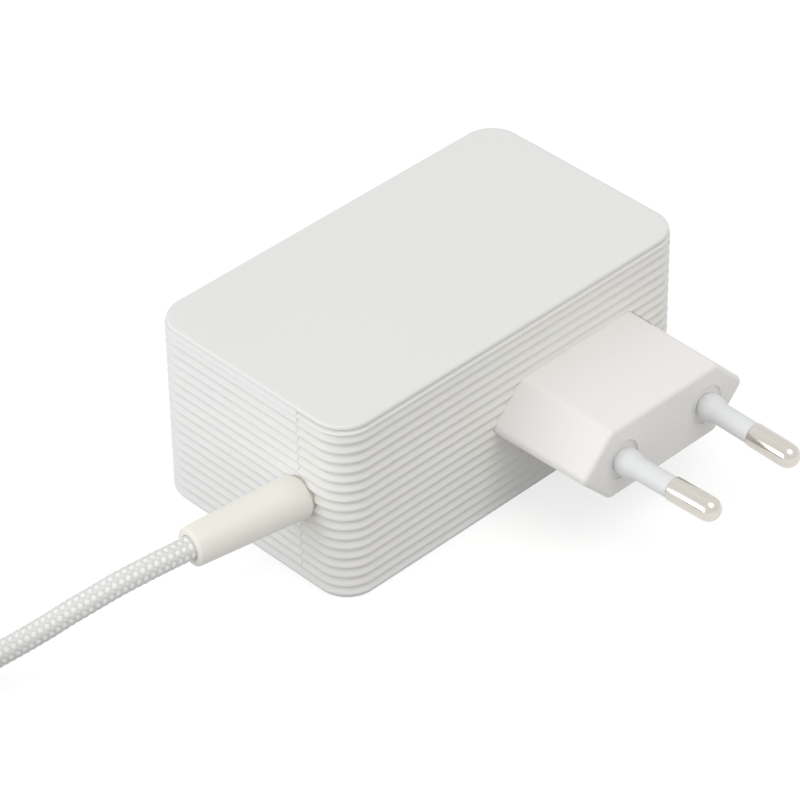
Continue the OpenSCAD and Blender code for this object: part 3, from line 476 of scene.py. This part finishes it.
def plastic(name, colour, roughness, grain=9000, relief=0.02 * MM, cloud=0.03, coat=0.0, soft=0.0):
    """Moulded plastic, rubber, lacquer or coating."""
    material, tree, shader = empty_material(name)
    skin = group_node(tree, moulded_group, Grain_scale=grain, Cloud_depth=cloud, Roughness=roughness)
    tree.links.new(toned(tree, colour, skin.outputs["Tone"]), shader.inputs["Base Color"])
    tree.links.new(skin.outputs["Roughness"], shader.inputs["Roughness"])
    shader.inputs["Coat Weight"].default_value = coat
    shader.inputs["Coat Roughness"].default_value = 0.15
    shader.inputs["Sheen Weight"].default_value = soft
    bump(tree, shader, skin.outputs["Height"], 0.4, relief)
    return material


def metal(name, colour, roughness):
    """Drawn, rolled or plated metal."""
    material, tree, shader = empty_material(name)
    skin = group_node(tree, drawn_group, Scratch_scale=900, Roughness=roughness)
    tree.links.new(toned(tree, colour, skin.outputs["Tone"]), shader.inputs["Base Color"])
    tree.links.new(skin.outputs["Roughness"], shader.inputs["Roughness"])
    shader.inputs["Metallic"].default_value = 1
    bump(tree, shader, skin.outputs["Height"], 0.3, 0.01 * MM)
    return material


def braid_material(name, relief):
    """The woven jacket of the lead, with painted shade in the gaps between strands and on the strands of
    one winding; relief is the height that the mesh itself doesn't have.
    """
    gap_shade_tone, filament_tone, filament_height = 0.8, 0.04, 0.008 * MM
    roughness, filament_roughness = 0.3, 0.08
    colours, sizes = bpy.context.scene.adapter_colours, bpy.context.scene.adapter_braid
    material, tree, shader = empty_material(name)
    links, maths = tree.links, Maths(tree)
    weave = group_node(tree, braid_group, Strands=sizes.strands).outputs
    # Painted shade: strands of one winding take the darker yarn copy in place of their weaker sheen.
    yarn = tree.nodes.new("ShaderNodeMix")
    yarn.data_type = "RGBA"
    yarn.inputs["A"].default_value = (*colours.light_yarn, 1)
    yarn.inputs["B"].default_value = (*colours.painted_shade_yarn, 1)
    links.new(weave["Way"], yarn.inputs["Factor"])
    # Painted shade: the yarn colour darkens towards the gaps between strands, down to the gap tone.
    crown = maths("POWER", weave["Height"], 0.5)
    tone = maths("MULTIPLY_ADD", crown, 1 - gap_shade_tone, gap_shade_tone)
    tone = maths("MULTIPLY_ADD", weave["Filament"], filament_tone, tone)
    links.new(toned(tree, yarn.outputs["Result"], tone), shader.inputs["Base Color"])
    rough = maths("MULTIPLY_ADD", weave["Filament"], filament_roughness, roughness)
    links.new(rough, shader.inputs["Roughness"])
    links.new(maths("SUBTRACT", 1, weave["Way"]), shader.inputs["Coat Weight"])
    shader.inputs["Coat Roughness"].default_value = 0.2
    strand = maths("MULTIPLY", weave["Height"], relief)
    height = maths("ADD", strand, maths("MULTIPLY", weave["Filament"], filament_height))
    bump(tree, shader, height, 1, 1)
    return material


# ---- the camera ----
IMAGE_SIDE = 800
FOCAL_PIXELS = 3996.7
CAMERA_ANGLES = (-43.779, 38.340, -0.988)  # azimuth, elevation and roll, in degrees
CAMERA_PLACE = (-0.342910, -0.352781, 0.396756)


class ADAPTER_OT_camera(bpy.types.Operator):
    """Sets the camera at the viewing angle of a product shot"""

    bl_idname = "adapter.camera"
    bl_label = "Camera"

    def execute(self, context):
        azimuth, elevation, roll = (math.radians(angle) for angle in CAMERA_ANGLES)
        back = Vector((
            math.sin(azimuth) * math.cos(elevation),
            -math.cos(azimuth) * math.cos(elevation),
            math.sin(elevation),
        ))
        level = Vector((0, 0, 1)).cross(back).normalized()
        upright = back.cross(level)
        right = level * math.cos(roll) + upright * math.sin(roll)
        up = upright * math.cos(roll) - level * math.sin(roll)
        data = bpy.data.cameras.new("camera")
        data.sensor_width = 36
        data.lens = FOCAL_PIXELS / IMAGE_SIDE * data.sensor_width
        data.clip_start = 0.01
        data.clip_end = 20
        camera = bpy.data.objects.new("camera", data)
        axes = Matrix((right, up, back)).transposed()
        camera.matrix_world = Matrix.Translation(CAMERA_PLACE) @ axes.to_4x4()
        context.scene.collection.objects.link(camera)
        context.scene.camera = camera
        return {"FINISHED"}


# ---- the lead ----
def eased(share):
    """A smooth step from 0 to 1."""
    share = min(max(share, 0), 1)
    return share * share * (3 - 2 * share)


def wound_point(angle, radius, height):
    """A point round the coil's centre at an angle from the coil's start."""
    turn = math.radians(COIL_START + angle)
    return Vector((
        COIL_CENTRE[0] + radius * math.cos(turn), COIL_CENTRE[1] + radius * math.sin(turn), height
    ))


def coil_point(angle):
    """A point of the coil, which winds in and out by turns and climbs a layer in between."""
    layer_sweep = COIL_SWEEP / COIL_LAYERS
    layer = min(int(angle // layer_sweep), COIL_LAYERS)
    part = angle / layer_sweep - layer
    wound_in = part if layer % 2 == 0 else 1 - part
    radius = COIL_OUTER_R - COIL_STEP * layer_sweep / 360 * wound_in
    height = COIL_LOW
    for climb in range(1, COIL_LAYERS):
        height += COIL_STEP * eased((angle - climb * layer_sweep) / CLIMB_SWEEP + 0.5)
    return wound_point(angle, radius, height)


def tail_point(angle):
    """A point of the tail, which winds on beside the coil and comes down to the connector."""
    radius = COIL_OUTER_R + TAIL_SHIFT * eased(angle / SHIFT_SWEEP)
    drop = eased((angle - DROP_START) / (TAIL_SWEEP - DROP_START))
    height = COIL_TOP + (CONNECTOR_Z - COIL_TOP) * drop
    return wound_point(COIL_SWEEP + angle, radius, height)


def smooth_line(points, step):
    """Points at an even step along a smooth curve through the given places, in metres."""
    places = [Vector(p) * MM for p in points]
    fine = []
    for i in range(len(places) - 1):
        a, b = places[max(i - 1, 0)], places[i]
        c, d = places[i + 1], places[min(i + 2, len(places) - 1)]
        for k in range(8):
            t = k / 8
            fine.append(0.5 * (2 * b + (c - a) * t + (2 * a - 5 * b + 4 * c - d) * t**2
                               + (3 * b - a - 3 * c + d) * t**3))
    fine.append(places[-1])
    lengths = [0.0]
    for a, b in zip(fine, fine[1:]):
        lengths.append(lengths[-1] + (b - a).length)
    count = max(round(lengths[-1] / step), 2)
    line, j = [], 0
    for i in range(count + 1):
        want = lengths[-1] * i / count
        while j < len(lengths) - 2 and lengths[j + 1] < want:
            j += 1
        share = (want - lengths[j]) / (lengths[j + 1] - lengths[j])
        line.append(fine[j].lerp(fine[j + 1], min(max(share, 0), 1)))
    return line


def strand_height(turns, lays, strands):
    """Height of the upper strand, from 0 to 1, where a braid of two sets of strands crosses."""
    left, right = (turns - lays) * strands, (turns + lays) * strands
    cell_left, cell_right = math.floor(left + 0.5), math.floor(right + 0.5)
    across, along = left - cell_left, right - cell_right
    if (cell_left + cell_right) % 2:
        across, along = along, across
    return math.cos(math.pi * along) * (1 - abs(2 * across) ** 4)


def braided_tube(bm, line, sides, start, sizes, relief, material):
    """Adds a tube along a line, smooth where the strain relief holds it, and returns its length."""
    uv_layer = bm.loops.layers.uv.verify()
    side = None
    length, rings, marks = start, [], []
    for i, point in enumerate(line):
        ahead, behind = line[min(i + 1, len(line) - 1)], line[max(i - 1, 0)]
        along = (ahead - behind).normalized()
        side = along.orthogonal() if side is None else side
        side = (side - along * side.dot(along)).normalized()
        other = along.cross(side)
        length += (point - line[i - 1]).length if i else 0
        lays = length / sizes.lay
        depth = relief * eased((length - HELD_L) / FREED_L)
        ring = []
        for k in range(sides):
            turns = k / sides
            radius = CORD_R - depth * (1 - strand_height(turns, lays, sizes.strands))
            angle = 2 * math.pi * turns
            ring.append(bm.verts.new(
                point + radius * (side * math.cos(angle) + other * math.sin(angle))
            ))
        rings.append(ring)
        marks.append(lays)
    for i in range(len(rings) - 1):
        for k in range(sides):
            n = (k + 1) % sides
            face = bm.faces.new((rings[i][k], rings[i][n], rings[i + 1][n], rings[i + 1][k]))
            face.material_index = material
            places = [(marks[i], k), (marks[i], k + 1), (marks[i + 1], k + 1), (marks[i + 1], k)]
            for loop, (lays, turn) in zip(face.loops, places):
                loop[uv_layer].uv = (lays, turn / sides)
    bm.faces.new(reversed(rings[0])).material_index = material
    bm.faces.new(rings[-1]).material_index = material
    return length


class ADAPTER_OT_lead(bpy.types.Operator):
    """Builds the braided lead: its free stretch, the coil and the tail that ends in the connector"""

    bl_idname = "adapter.lead"
    bl_label = "Braided lead"

    def execute(self, context):
        sizes = context.scene.adapter_braid
        direction = Vector((-math.cos(BOOT_TURN), math.sin(BOOT_TURN), 0))
        base = Vector((-END_X, SEAM_Y, LEAD_Z))
        mouth = [(base + direction * reach) / MM for reach in (BOOT_L - HELD_L, BOOT_L)]
        turns = [coil_point(angle) for angle in range(0, COIL_SWEEP + 1, 15)]
        start, end = (math.radians(COIL_START + a) for a in (0, COIL_SWEEP))
        diameter = 2 * CORD_R / MM
        lead_in = turns[0] - diameter * Vector((-math.sin(start), math.cos(start), 0))
        ahead = Vector((-math.sin(end), math.cos(end), 0))
        lead_out = turns[-1] + diameter * ahead
        around = [tail_point(angle) for angle in range(20, TAIL_SWEEP + 1, 10)]
        grip = around[-1] + Vector(TAIL_STRAIGHT)
        free = mouth + CORD_ROUTE + [lead_in, turns[0]]
        coil = turns + [lead_out]
        straight = 1.5 * ahead
        tail = [lead_out, lead_out + straight] + around + [grip, grip + Vector(GRIP_DEPTH)]
        near_step, near_sides = 0.235 * MM, 80
        far_step, far_sides = 0.8 * MM, 26
        free_line = smooth_line(free, near_step)
        coil_line = smooth_line(coil, far_step)
        tail_line = smooth_line(tail, far_step)
        bm = bmesh.new()
        reached = braided_tube(bm, free_line, near_sides, 0, sizes, sizes.relief, 0)
        reached = braided_tube(bm, coil_line, far_sides, reached, sizes, 0, 1)
        reached = braided_tube(bm, tail_line, far_sides, reached, sizes, 0, 1)
        mesh = bpy.data.meshes.new("braided_lead")
        bm.to_mesh(mesh)
        bm.free()
        mesh.uv_layers[0].name = "lead_map"
        materials = [braid_material("braid_near", 0), braid_material("braid_coil", sizes.relief)]
        lead = add_piece(
            "braided_lead", mesh, materials, ("cord", "cord_coil", "cord_tail"), 80
        )
        return {"FINISHED"}


# ---- the housing ----
def wall_profile(sizes):
    """The housing's side from the top plate down, as (distance from the corner's centre, height)."""
    pitch = BODY_H / sizes.ribs
    plate_x = sizes.corner - sizes.top_inset - sizes.edge_round
    plate_z, edge_foot = BODY_H - sizes.top_edge, 0.1 * MM
    points = arc((plate_x, BODY_H - sizes.edge_round), sizes.edge_round, 90, 0, 6)
    points.append((plate_x + sizes.edge_round, plate_z + edge_foot))
    tops = [plate_z] + [pitch * k for k in range(sizes.ribs - 1, 0, -1)]
    steps, least_step = 10, 0.02 * MM
    for top, low in zip(tops, tops[1:] + [0]):
        for k in range(steps + 1):
            height = top + (low - top) * k / steps
            if points[-1][1] - height > least_step:
                bulge = math.sin(math.pi * k / steps) ** 2
                points.append((sizes.corner - sizes.rib_depth * (1 - bulge), height))
    return points


def ribbed_block(sizes):
    """The whole outer form: the side profile drawn along the four sides and turned at the corners."""
    bm = bmesh.new()
    hx, hy = END_X - sizes.corner, BODY_W / 2 - sizes.corner
    verts, edges = chain(bm, [(hx + out, -hy, z) for out, z in wall_profile(sizes)])
    corners = [(hx, hy), (-hx, hy), (-hx, -hy), (hx, -hy)]
    runs = [(0, 2 * hy), (-2 * hx, 0), (0, -2 * hy), (2 * hx, 0)]
    for run, corner in zip(runs, corners):
        made = bmesh.ops.extrude_edge_only(bm, edges=edges)["geom"]
        verts = [g for g in made if isinstance(g, bmesh.types.BMVert)]
        edges = [g for g in made if isinstance(g, bmesh.types.BMEdge)]
        bmesh.ops.translate(bm, verts=verts, vec=(*run, 0))
        last = bmesh.ops.spin(
            bm, geom=verts + edges, cent=(*corner, 0), axis=(0, 0, 1), angle=math.pi / 2, steps=14
        )["geom_last"]
        edges = [g for g in last if isinstance(g, bmesh.types.BMEdge)]
    bmesh.ops.remove_doubles(bm, verts=bm.verts, dist=1e-6)
    for height in (BODY_H, 0):
        rim = [e for e in bm.edges if e.is_boundary and abs(e.verts[0].co.z - height) < 1e-7]
        face = bmesh.ops.contextual_create(bm, geom=rim)["faces"]
        bmesh.ops.inset_region(bm, faces=face, thickness=0.6 * MM, use_even_offset=True)
    return closed_mesh(bm)


def cover_space(gap, low, high):
    """The space of the front cover, drawn in by a gap, and by a third of it above and below."""
    tight = gap / 3
    space = box_between(
        (-END_X - PAST, FRONT_Y - PAST, low + tight), (END_X + PAST, SEAM_Y - gap, high - tight)
    )
    column = rounded_block(
        2 * (INNER_X + gap), 2 * (INNER_Y + gap), INNER_R + gap, -PAST, BODY_H + PAST
    )
    return combined(space, [("DIFFERENCE", column)])


def plug_outline(grow):
    """The plug's six-sided outline, grown or drawn in all round, as (across, up) points."""
    rounding, side, edge, flat = 1.6 * MM, 35.6 / 2 * MM, 13.5 / 2 * MM, 22.4 / 2 * MM
    x, y = side - rounding, edge - rounding
    corners = [(x, 0), (flat, y), (-flat, y), (-x, 0), (-flat, -y), (flat, -y)]
    return rounded_outline(corners, rounding + grow)


def plug_ring(grow, y):
    """One ring of the plug at a place along Y."""
    return [(PLUG_X + across, y, PLUG_Z + up) for across, up in plug_outline(grow)]


class ADAPTER_OT_housing(bpy.types.Operator):
    """Builds the two halves of the ribbed housing"""

    bl_idname = "adapter.housing"
    bl_label = "Ribbed housing"

    def execute(self, context):
        sizes = context.scene.adapter_housing
        colours = context.scene.adapter_colours
        ledge, hole_room, window_room = 0.05 * MM, 0.1 * MM, 0.03 * MM
        low, high = BODY_H / sizes.ribs + ledge, BODY_H - sizes.top_edge
        # The front cover's colour carries painted light: a yellower tint for the warm light on its front
        # faces.
        shells = [
            plastic(name, colour, 0.5, relief=0.012 * MM, cloud=0.02)
            for name, colour in (("housing_white", colours.housing), ("cover_white_painted_warm_light", colours.cover))
        ]
        hole = ((-END_X - PAST, SEAM_Y, LEAD_Z), (-INNER_X + PAST, SEAM_Y, LEAD_Z))
        inner = rounded_block(2 * INNER_X, 2 * INNER_Y, INNER_R, WALL, INNER_TOP)
        rear = combined(ribbed_block(sizes), [
            ("DIFFERENCE", inner),
            ("DIFFERENCE", cover_space(0, low, high)),
            ("DIFFERENCE", rod(NECK_R + hole_room, *hole)),
        ])
        add_piece("housing_rear", rear, shells[:1], ["rear_case"])
        window = lofted([plug_ring(window_room, y) for y in (FRONT_Y - PAST, -INNER_Y + PAST)])
        lowered = ribbed_block(sizes)
        lowered.transform(Matrix.Translation((0, 0, -COVER_DROP)))
        front = combined(lowered, [
            ("INTERSECT", cover_space(SEAM_GAP, low, high)),
            ("DIFFERENCE", rod(NECK_R + hole_room, *hole)),
            ("DIFFERENCE", window),
        ])
        add_piece("housing_front", front, shells[1:], ["front_cover"])
        return {"FINISHED"}


# ---- the plug ----
def pin_place(side):
    """The frame of a pin: Z points out of the plug along the pin, side is -1 or 1."""
    foot = Matrix.Translation((PLUG_X + side * PIN_SPACING / 2, PLUG_FACE_Y, PLUG_Z))
    return foot @ Matrix.Rotation(-side * PIN_LEAN, 4, "Z") @ Matrix.Rotation(math.pi / 2, 4, "X")


SLEEVE_OUT = 10 * MM
SOCKET = 6 * MM
CORE_R = 1.5 * MM
DISH_DEPTH = 0.35 * MM


class ADAPTER_OT_plug(bpy.types.Operator):
    """Builds the plug's body with its dishes, the sleeves and the pins"""

    bl_idname = "adapter.plug"
    bl_label = "Mains plug"

    def execute(self, context):
        colours = context.scene.adapter_colours
        draft, edge, flange = 0.25 * MM, 0.8 * MM, 1.5 * MM
        flange_rim = 0.8 * MM
        bore_r, sleeve_bore_r, depth = CORE_R + 0.05 * MM, 1.85 * MM, 30 * MM
        dish_r, dish_round = 3.4 * MM, 0.25 * MM
        rings = [plug_ring(0, COVER_INNER_Y)]
        for k in range(7):
            angle = math.pi / 2 * k / 6
            rings.append(plug_ring(
                -draft - edge * (1 - math.cos(angle)), PLUG_FACE_Y + edge * (1 - math.sin(angle))
            ))
        body = lofted(rings)
        inner_flange = lofted([
            plug_ring(flange_rim, y) for y in (COVER_INNER_Y, COVER_INNER_Y + flange)
        ])
        steps = [("UNION", inner_flange)]
        for side in (-1, 1):
            bore = [
                (0, -depth), (bore_r, -depth), (bore_r, -SOCKET), (sleeve_bore_r, -SOCKET),
                (sleeve_bore_r, -DISH_DEPTH),
            ]
            bore += arc((dish_r - dish_round, -DISH_DEPTH + dish_round), dish_round, -90, 0, 5)
            bore += [(dish_r, PAST), (0, PAST)]
            steps.append(("DIFFERENCE", turned(bore, pin_place(side))))
        body = combined(body, steps)
        finish = plastic("plug_white", colours.plug, 0.42, grain=6000, relief=0.006 * MM, cloud=0.02)
        add_piece("plug_moulding", body, [finish], ["plug_body"])
        sleeve = plastic("sleeve_white", colours.sleeve, 0.5, grain=5000, relief=0.004 * MM)
        nickel = metal("pin_nickel", (0.66, 0.63, 0.58), 0.16)
        for side, name in ((-1, "left"), (1, "right")):
            self.add_sleeve(name, side, sleeve)
            self.add_pin(name, side, nickel)
        return {"FINISHED"}

    def add_sleeve(self, name, side, finish):
        """A sleeve with a ball-shaped foot, a fine mould line and a rounded end."""
        radius, foot_r, bore, waist_l = 1.8 * MM, 2.3 * MM, CORE_R + 0.02 * MM, 2.6 * MM
        steps, line_step, line_depth = 16, 13, 0.04 * MM
        end_round, lip = 0.12 * MM, 0.02 * MM
        seat_angle = math.degrees(math.acos(radius / foot_r))
        widest = foot_r * math.sin(math.radians(seat_angle)) - DISH_DEPTH
        outline = [(bore, -SOCKET), (radius, -SOCKET)]
        outline += arc((0, widest), foot_r, -seat_angle, 0, 8)
        for k in range(1, steps + 1):
            blend = (1 + math.cos(math.pi * k / steps)) / 2
            groove = line_depth if k == line_step else 0
            outline.append((
                radius + (foot_r - radius) * blend - groove, widest + waist_l * k / steps
            ))
        end = SLEEVE_OUT - lip
        outline += arc((radius - end_round, end - end_round), end_round, 0, 90, 3)
        outline += [(bore, end), outline[0]]
        mesh = turned(outline, pin_place(side), 72)
        add_piece(f"sleeve_{name}", mesh, [finish], [f"pin_sleeve_{name}"])

    def add_pin(self, name, side, finish):
        """A pin with a thin core inside the sleeve, a bare end and a ball-shaped tip."""
        inside, shoulder, fold, step = 3.3 * MM, 0.2 * MM, 0.15 * MM, 0.03 * MM
        back = PLUG_OUT + WALL + inside
        outline = [(0, -back), (CORE_R, -back), (CORE_R, SLEEVE_OUT)]
        outline += arc((PIN_R - shoulder, SLEEVE_OUT + shoulder), shoulder, -90, 0, 4)
        outline += [(PIN_R, PIN_OUT - PIN_R - fold)]
        outline += arc((0, PIN_OUT - PIN_R), PIN_R - step, 2, 90, 18)
        mesh = turned(outline, pin_place(side), 72)
        add_piece(f"contact_pin_{name}", mesh, [finish], [f"pin_{name}"], 24)


# ---- the strain relief ----
class ADAPTER_OT_strain_relief(bpy.types.Operator):
    """Builds the tapered sleeve that the lead leaves the housing through"""

    bl_idname = "adapter.strain_relief"
    bl_label = "Strain relief"

    def execute(self, context):
        base_r, mouth_r, bore_r, rim = 3.65 * MM, 3.15 * MM, CORD_R + 0.02 * MM, 0.5 * MM
        foot, lip, lift, root, bend_l = 0.5 * MM, 0.25 * MM, 0.05 * MM, 1.2 * MM, 3 * MM
        flange_r, flange_start, flange_end = 5.05 * MM, 2.25 * MM, 3.65 * MM
        outline = [(0, -root), (NECK_R, -root), (NECK_R, lift)]
        outline += arc((base_r - foot, foot + lift), foot, -90, 0, 6)
        outline += [(base_r - (base_r - mouth_r) * k / 6, BOOT_L * k / 6) for k in range(1, 6)]
        outline += arc((mouth_r - rim, BOOT_L - rim), rim, 2, 90, 8)
        outline += arc((bore_r + lip, BOOT_L - lip), lip, 90, 180, 5)
        outline += [(bore_r, BOOT_L - HELD_L), (0, BOOT_L - HELD_L)]
        sleeve = turned(outline, steps=72)
        base = Vector((-END_X, SEAM_Y, LEAD_Z))
        for vert in sleeve.vertices:
            turn = BOOT_TURN * eased(vert.co.z / bend_l)
            bent = Matrix.Rotation(-turn, 4, "Z") @ Matrix.Rotation(-math.pi / 2, 4, "Y")
            vert.co = base + bent @ vert.co
        neck = [
            (0, 0), (NECK_R, 0), (NECK_R, flange_start), (flange_r, flange_start),
            (flange_r, flange_end), (0, flange_end),
        ]
        inward = Matrix.Translation(base) @ Matrix.Rotation(math.pi / 2, 4, "Y")
        mesh = combined(sleeve, [("UNION", turned(neck, inward, 72))])
        finish = plastic(
            "strain_relief_ivory", context.scene.adapter_colours.boot, 0.42,
            grain=2600, relief=0.03 * MM, cloud=0.05, soft=0.1,
        )
        add_piece("lead_sleeve", mesh, [finish], ["strain_relief"])
        return {"FINISHED"}


# ---- the pieces whose modelled shape stays: only their finish is made here ----
# Material slot: (colour, roughness, coat)
PLASTIC_FINISHES = {
    "connector_white": ((0.80, 0.80, 0.79), 0.35, 0.2),
    "connector_black": ((0.03, 0.03, 0.03), 0.4, 0.0),
    "tie_grey": ((0.30, 0.30, 0.30), 0.8, 0.0),
    "lead_red": ((0.45, 0.03, 0.02), 0.4, 0.0),
    "lead_black": ((0.03, 0.03, 0.03), 0.4, 0.0),
    "board_green": ((0.03, 0.16, 0.07), 0.35, 0.3),
    "film_clear": ((0.70, 0.66, 0.50), 0.3, 0.0),
    "pad_blue": ((0.25, 0.40, 0.52), 0.7, 0.0),
    "fuse_brown": ((0.20, 0.10, 0.05), 0.45, 0.0),
    "thermistor_green": ((0.07, 0.14, 0.10), 0.5, 0.0),
    "x_cap_yellow": ((0.72, 0.52, 0.08), 0.3, 0.0),
    "y_cap_blue": ((0.05, 0.15, 0.42), 0.35, 0.3),
    "ferrite_grey": ((0.09, 0.09, 0.10), 0.6, 0.0),
    "winding_tape": ((0.72, 0.58, 0.10), 0.35, 0.0),
    "component_black": ((0.03, 0.03, 0.03), 0.5, 0.0),
    "capacitor_navy": ((0.02, 0.04, 0.11), 0.3, 0.2),
    "resistor_tan": ((0.52, 0.42, 0.25), 0.45, 0.2),
}
# Material slot: (colour, roughness)
METAL_FINISHES = {
    "contact_brass": ((0.80, 0.58, 0.26), 0.3),
    "connector_metal": ((0.70, 0.69, 0.67), 0.18),
    "aluminium_sheet": ((0.78, 0.79, 0.80), 0.35),
    "wire_copper": ((0.70, 0.32, 0.15), 0.3),
    "capacitor_silver": ((0.75, 0.76, 0.78), 0.28),
}


class ADAPTER_OT_inner_parts(bpy.types.Operator):
    """Finishes the connector, the tie and the circuit inside the housing"""

    bl_idname = "adapter.inner_parts"
    bl_label = "Connector and circuit"

    def execute(self, context):
        slots = {part["node"]: part["material_slot"] for part in frame["record"]["subparts"]}
        finishes = {
            name: plastic(name, colour, roughness, grain=5000, coat=coat)
            for name, (colour, roughness, coat) in PLASTIC_FINISHES.items()
        }
        for name, (colour, roughness) in METAL_FINISHES.items():
            finishes[name] = metal(name, colour, roughness)
        for name, obj in frame["nodes"].items():
            if slots[name] in finishes:
                obj.data.materials.clear()
                obj.data.materials.append(finishes[slots[name]])
        return {"FINISHED"}


# ---- the stage ----
LIGHT_TARGET = (0, 0, 0.015)
FLOOR_GREY = (0.45, 0.45, 0.45, 1)
WHITE = (1, 1, 1, 1)
FLOOR_SIZE = 1.5
FLOOR_GLOW = 0.66
WORLD_LIGHT = 0.66


def area_light(name, place, size, strength, colour=(1, 1, 1)):
    """A soft round lamp that faces the adapter."""
    data = bpy.data.lights.new(name, "AREA")
    data.shape = "DISK"
    data.size = size
    data.energy = strength
    data.color = colour
    lamp = bpy.data.objects.new(name, data)
    lamp.location = place
    aim = Vector(LIGHT_TARGET) - Vector(place)
    lamp.rotation_euler = aim.to_track_quat("-Z", "Y").to_euler()
    bpy.context.scene.collection.objects.link(lamp)


class ADAPTER_OT_stage(bpy.types.Operator):
    """Sets the pale floor, the soft lamps and the white surroundings"""

    bl_idname = "adapter.stage"
    bl_label = "Stage"

    def execute(self, context):
        self.add_floor(context)
        self.add_surroundings(context)
        area_light("side", (-0.93, 0.25, 0.2), 0.8, 4.2)
        area_light("key", (0, -0.42, 0.91), 0.7, 2.3, (1, 0.98, 0.95))
        context.scene.view_settings.view_transform = "Standard"
        return {"FINISHED"}

    def add_floor(self, context):
        """A pale floor that the camera sees as white, but for the adapter's shadow."""
        bm = bmesh.new()
        bmesh.ops.create_grid(bm, x_segments=1, y_segments=1, size=FLOOR_SIZE)
        floor = bpy.data.objects.new("floor", closed_mesh(bm))
        context.scene.collection.objects.link(floor)
        material, tree, shader = empty_material("pale_floor")
        shader.inputs["Base Color"].default_value = FLOOR_GREY
        shader.inputs["Roughness"].default_value = 0.8
        rays = tree.nodes.new("ShaderNodeLightPath").outputs
        maths = Maths(tree)
        seen = maths("MAXIMUM", rays["Is Camera Ray"], rays["Is Glossy Ray"])
        shader.inputs["Emission Color"].default_value = WHITE
        tree.links.new(maths("MULTIPLY", seen, FLOOR_GLOW), shader.inputs["Emission Strength"])
        floor.data.materials.append(material)

    def add_surroundings(self, context):
        """Even light from all round, which the camera and reflections see as white."""
        world = bpy.data.worlds.new("surroundings")
        context.scene.world = world
        world.use_nodes = True
        tree = world.node_tree
        background = tree.nodes["Background"]
        background.inputs["Color"].default_value = WHITE
        rays = tree.nodes.new("ShaderNodeLightPath").outputs
        maths = Maths(tree)
        seen = maths("MAXIMUM", rays["Is Camera Ray"], rays["Is Glossy Ray"])
        seen = maths("MAXIMUM", seen, rays["Is Transmission Ray"])
        strength = maths("MULTIPLY_ADD", seen, 1 - WORLD_LIGHT, WORLD_LIGHT)
        tree.links.new(strength, background.inputs["Strength"])


class ADAPTER_PT_panel(bpy.types.Panel):
    """Lists the sizes and the steps of the adapter"""

    bl_idname = "ADAPTER_PT_panel"
    bl_label = "Power adapter"
    bl_space_type = "VIEW_3D"
    bl_region_type = "UI"
    bl_category = "Adapter"

    def draw(self, context):
        scene = context.scene
        for group in (scene.adapter_housing, scene.adapter_braid, scene.adapter_colours):
            box = self.layout.box()
            for name in group.__annotations__:
                box.prop(group, name)
        for step in STEPS:
            self.layout.operator(step.bl_idname)


STEPS = [
    ADAPTER_OT_camera, ADAPTER_OT_lead, ADAPTER_OT_housing, ADAPTER_OT_plug,
    ADAPTER_OT_strain_relief, ADAPTER_OT_inner_parts, ADAPTER_OT_stage,
]
CLASSES = [HousingSizes, BraidSizes, FinishColours, *STEPS, ADAPTER_PT_panel]


def register():
    for each in CLASSES:
        bpy.utils.register_class(each)
    bpy.types.Scene.adapter_housing = PointerProperty(type=HousingSizes)
    bpy.types.Scene.adapter_braid = PointerProperty(type=BraidSizes)
    bpy.types.Scene.adapter_colours = PointerProperty(type=FinishColours)


def unregister():
    del bpy.types.Scene.adapter_colours
    del bpy.types.Scene.adapter_braid
    del bpy.types.Scene.adapter_housing
    for each in reversed(CLASSES):
        bpy.utils.unregister_class(each)


def main():
    register()
    bpy.ops.adapter.camera()
    bpy.ops.adapter.lead()
    bpy.ops.adapter.housing()
    bpy.ops.adapter.plug()
    bpy.ops.adapter.strain_relief()
    bpy.ops.adapter.inner_parts()
    bpy.ops.adapter.stage()


if __name__ == "__main__":
    main()
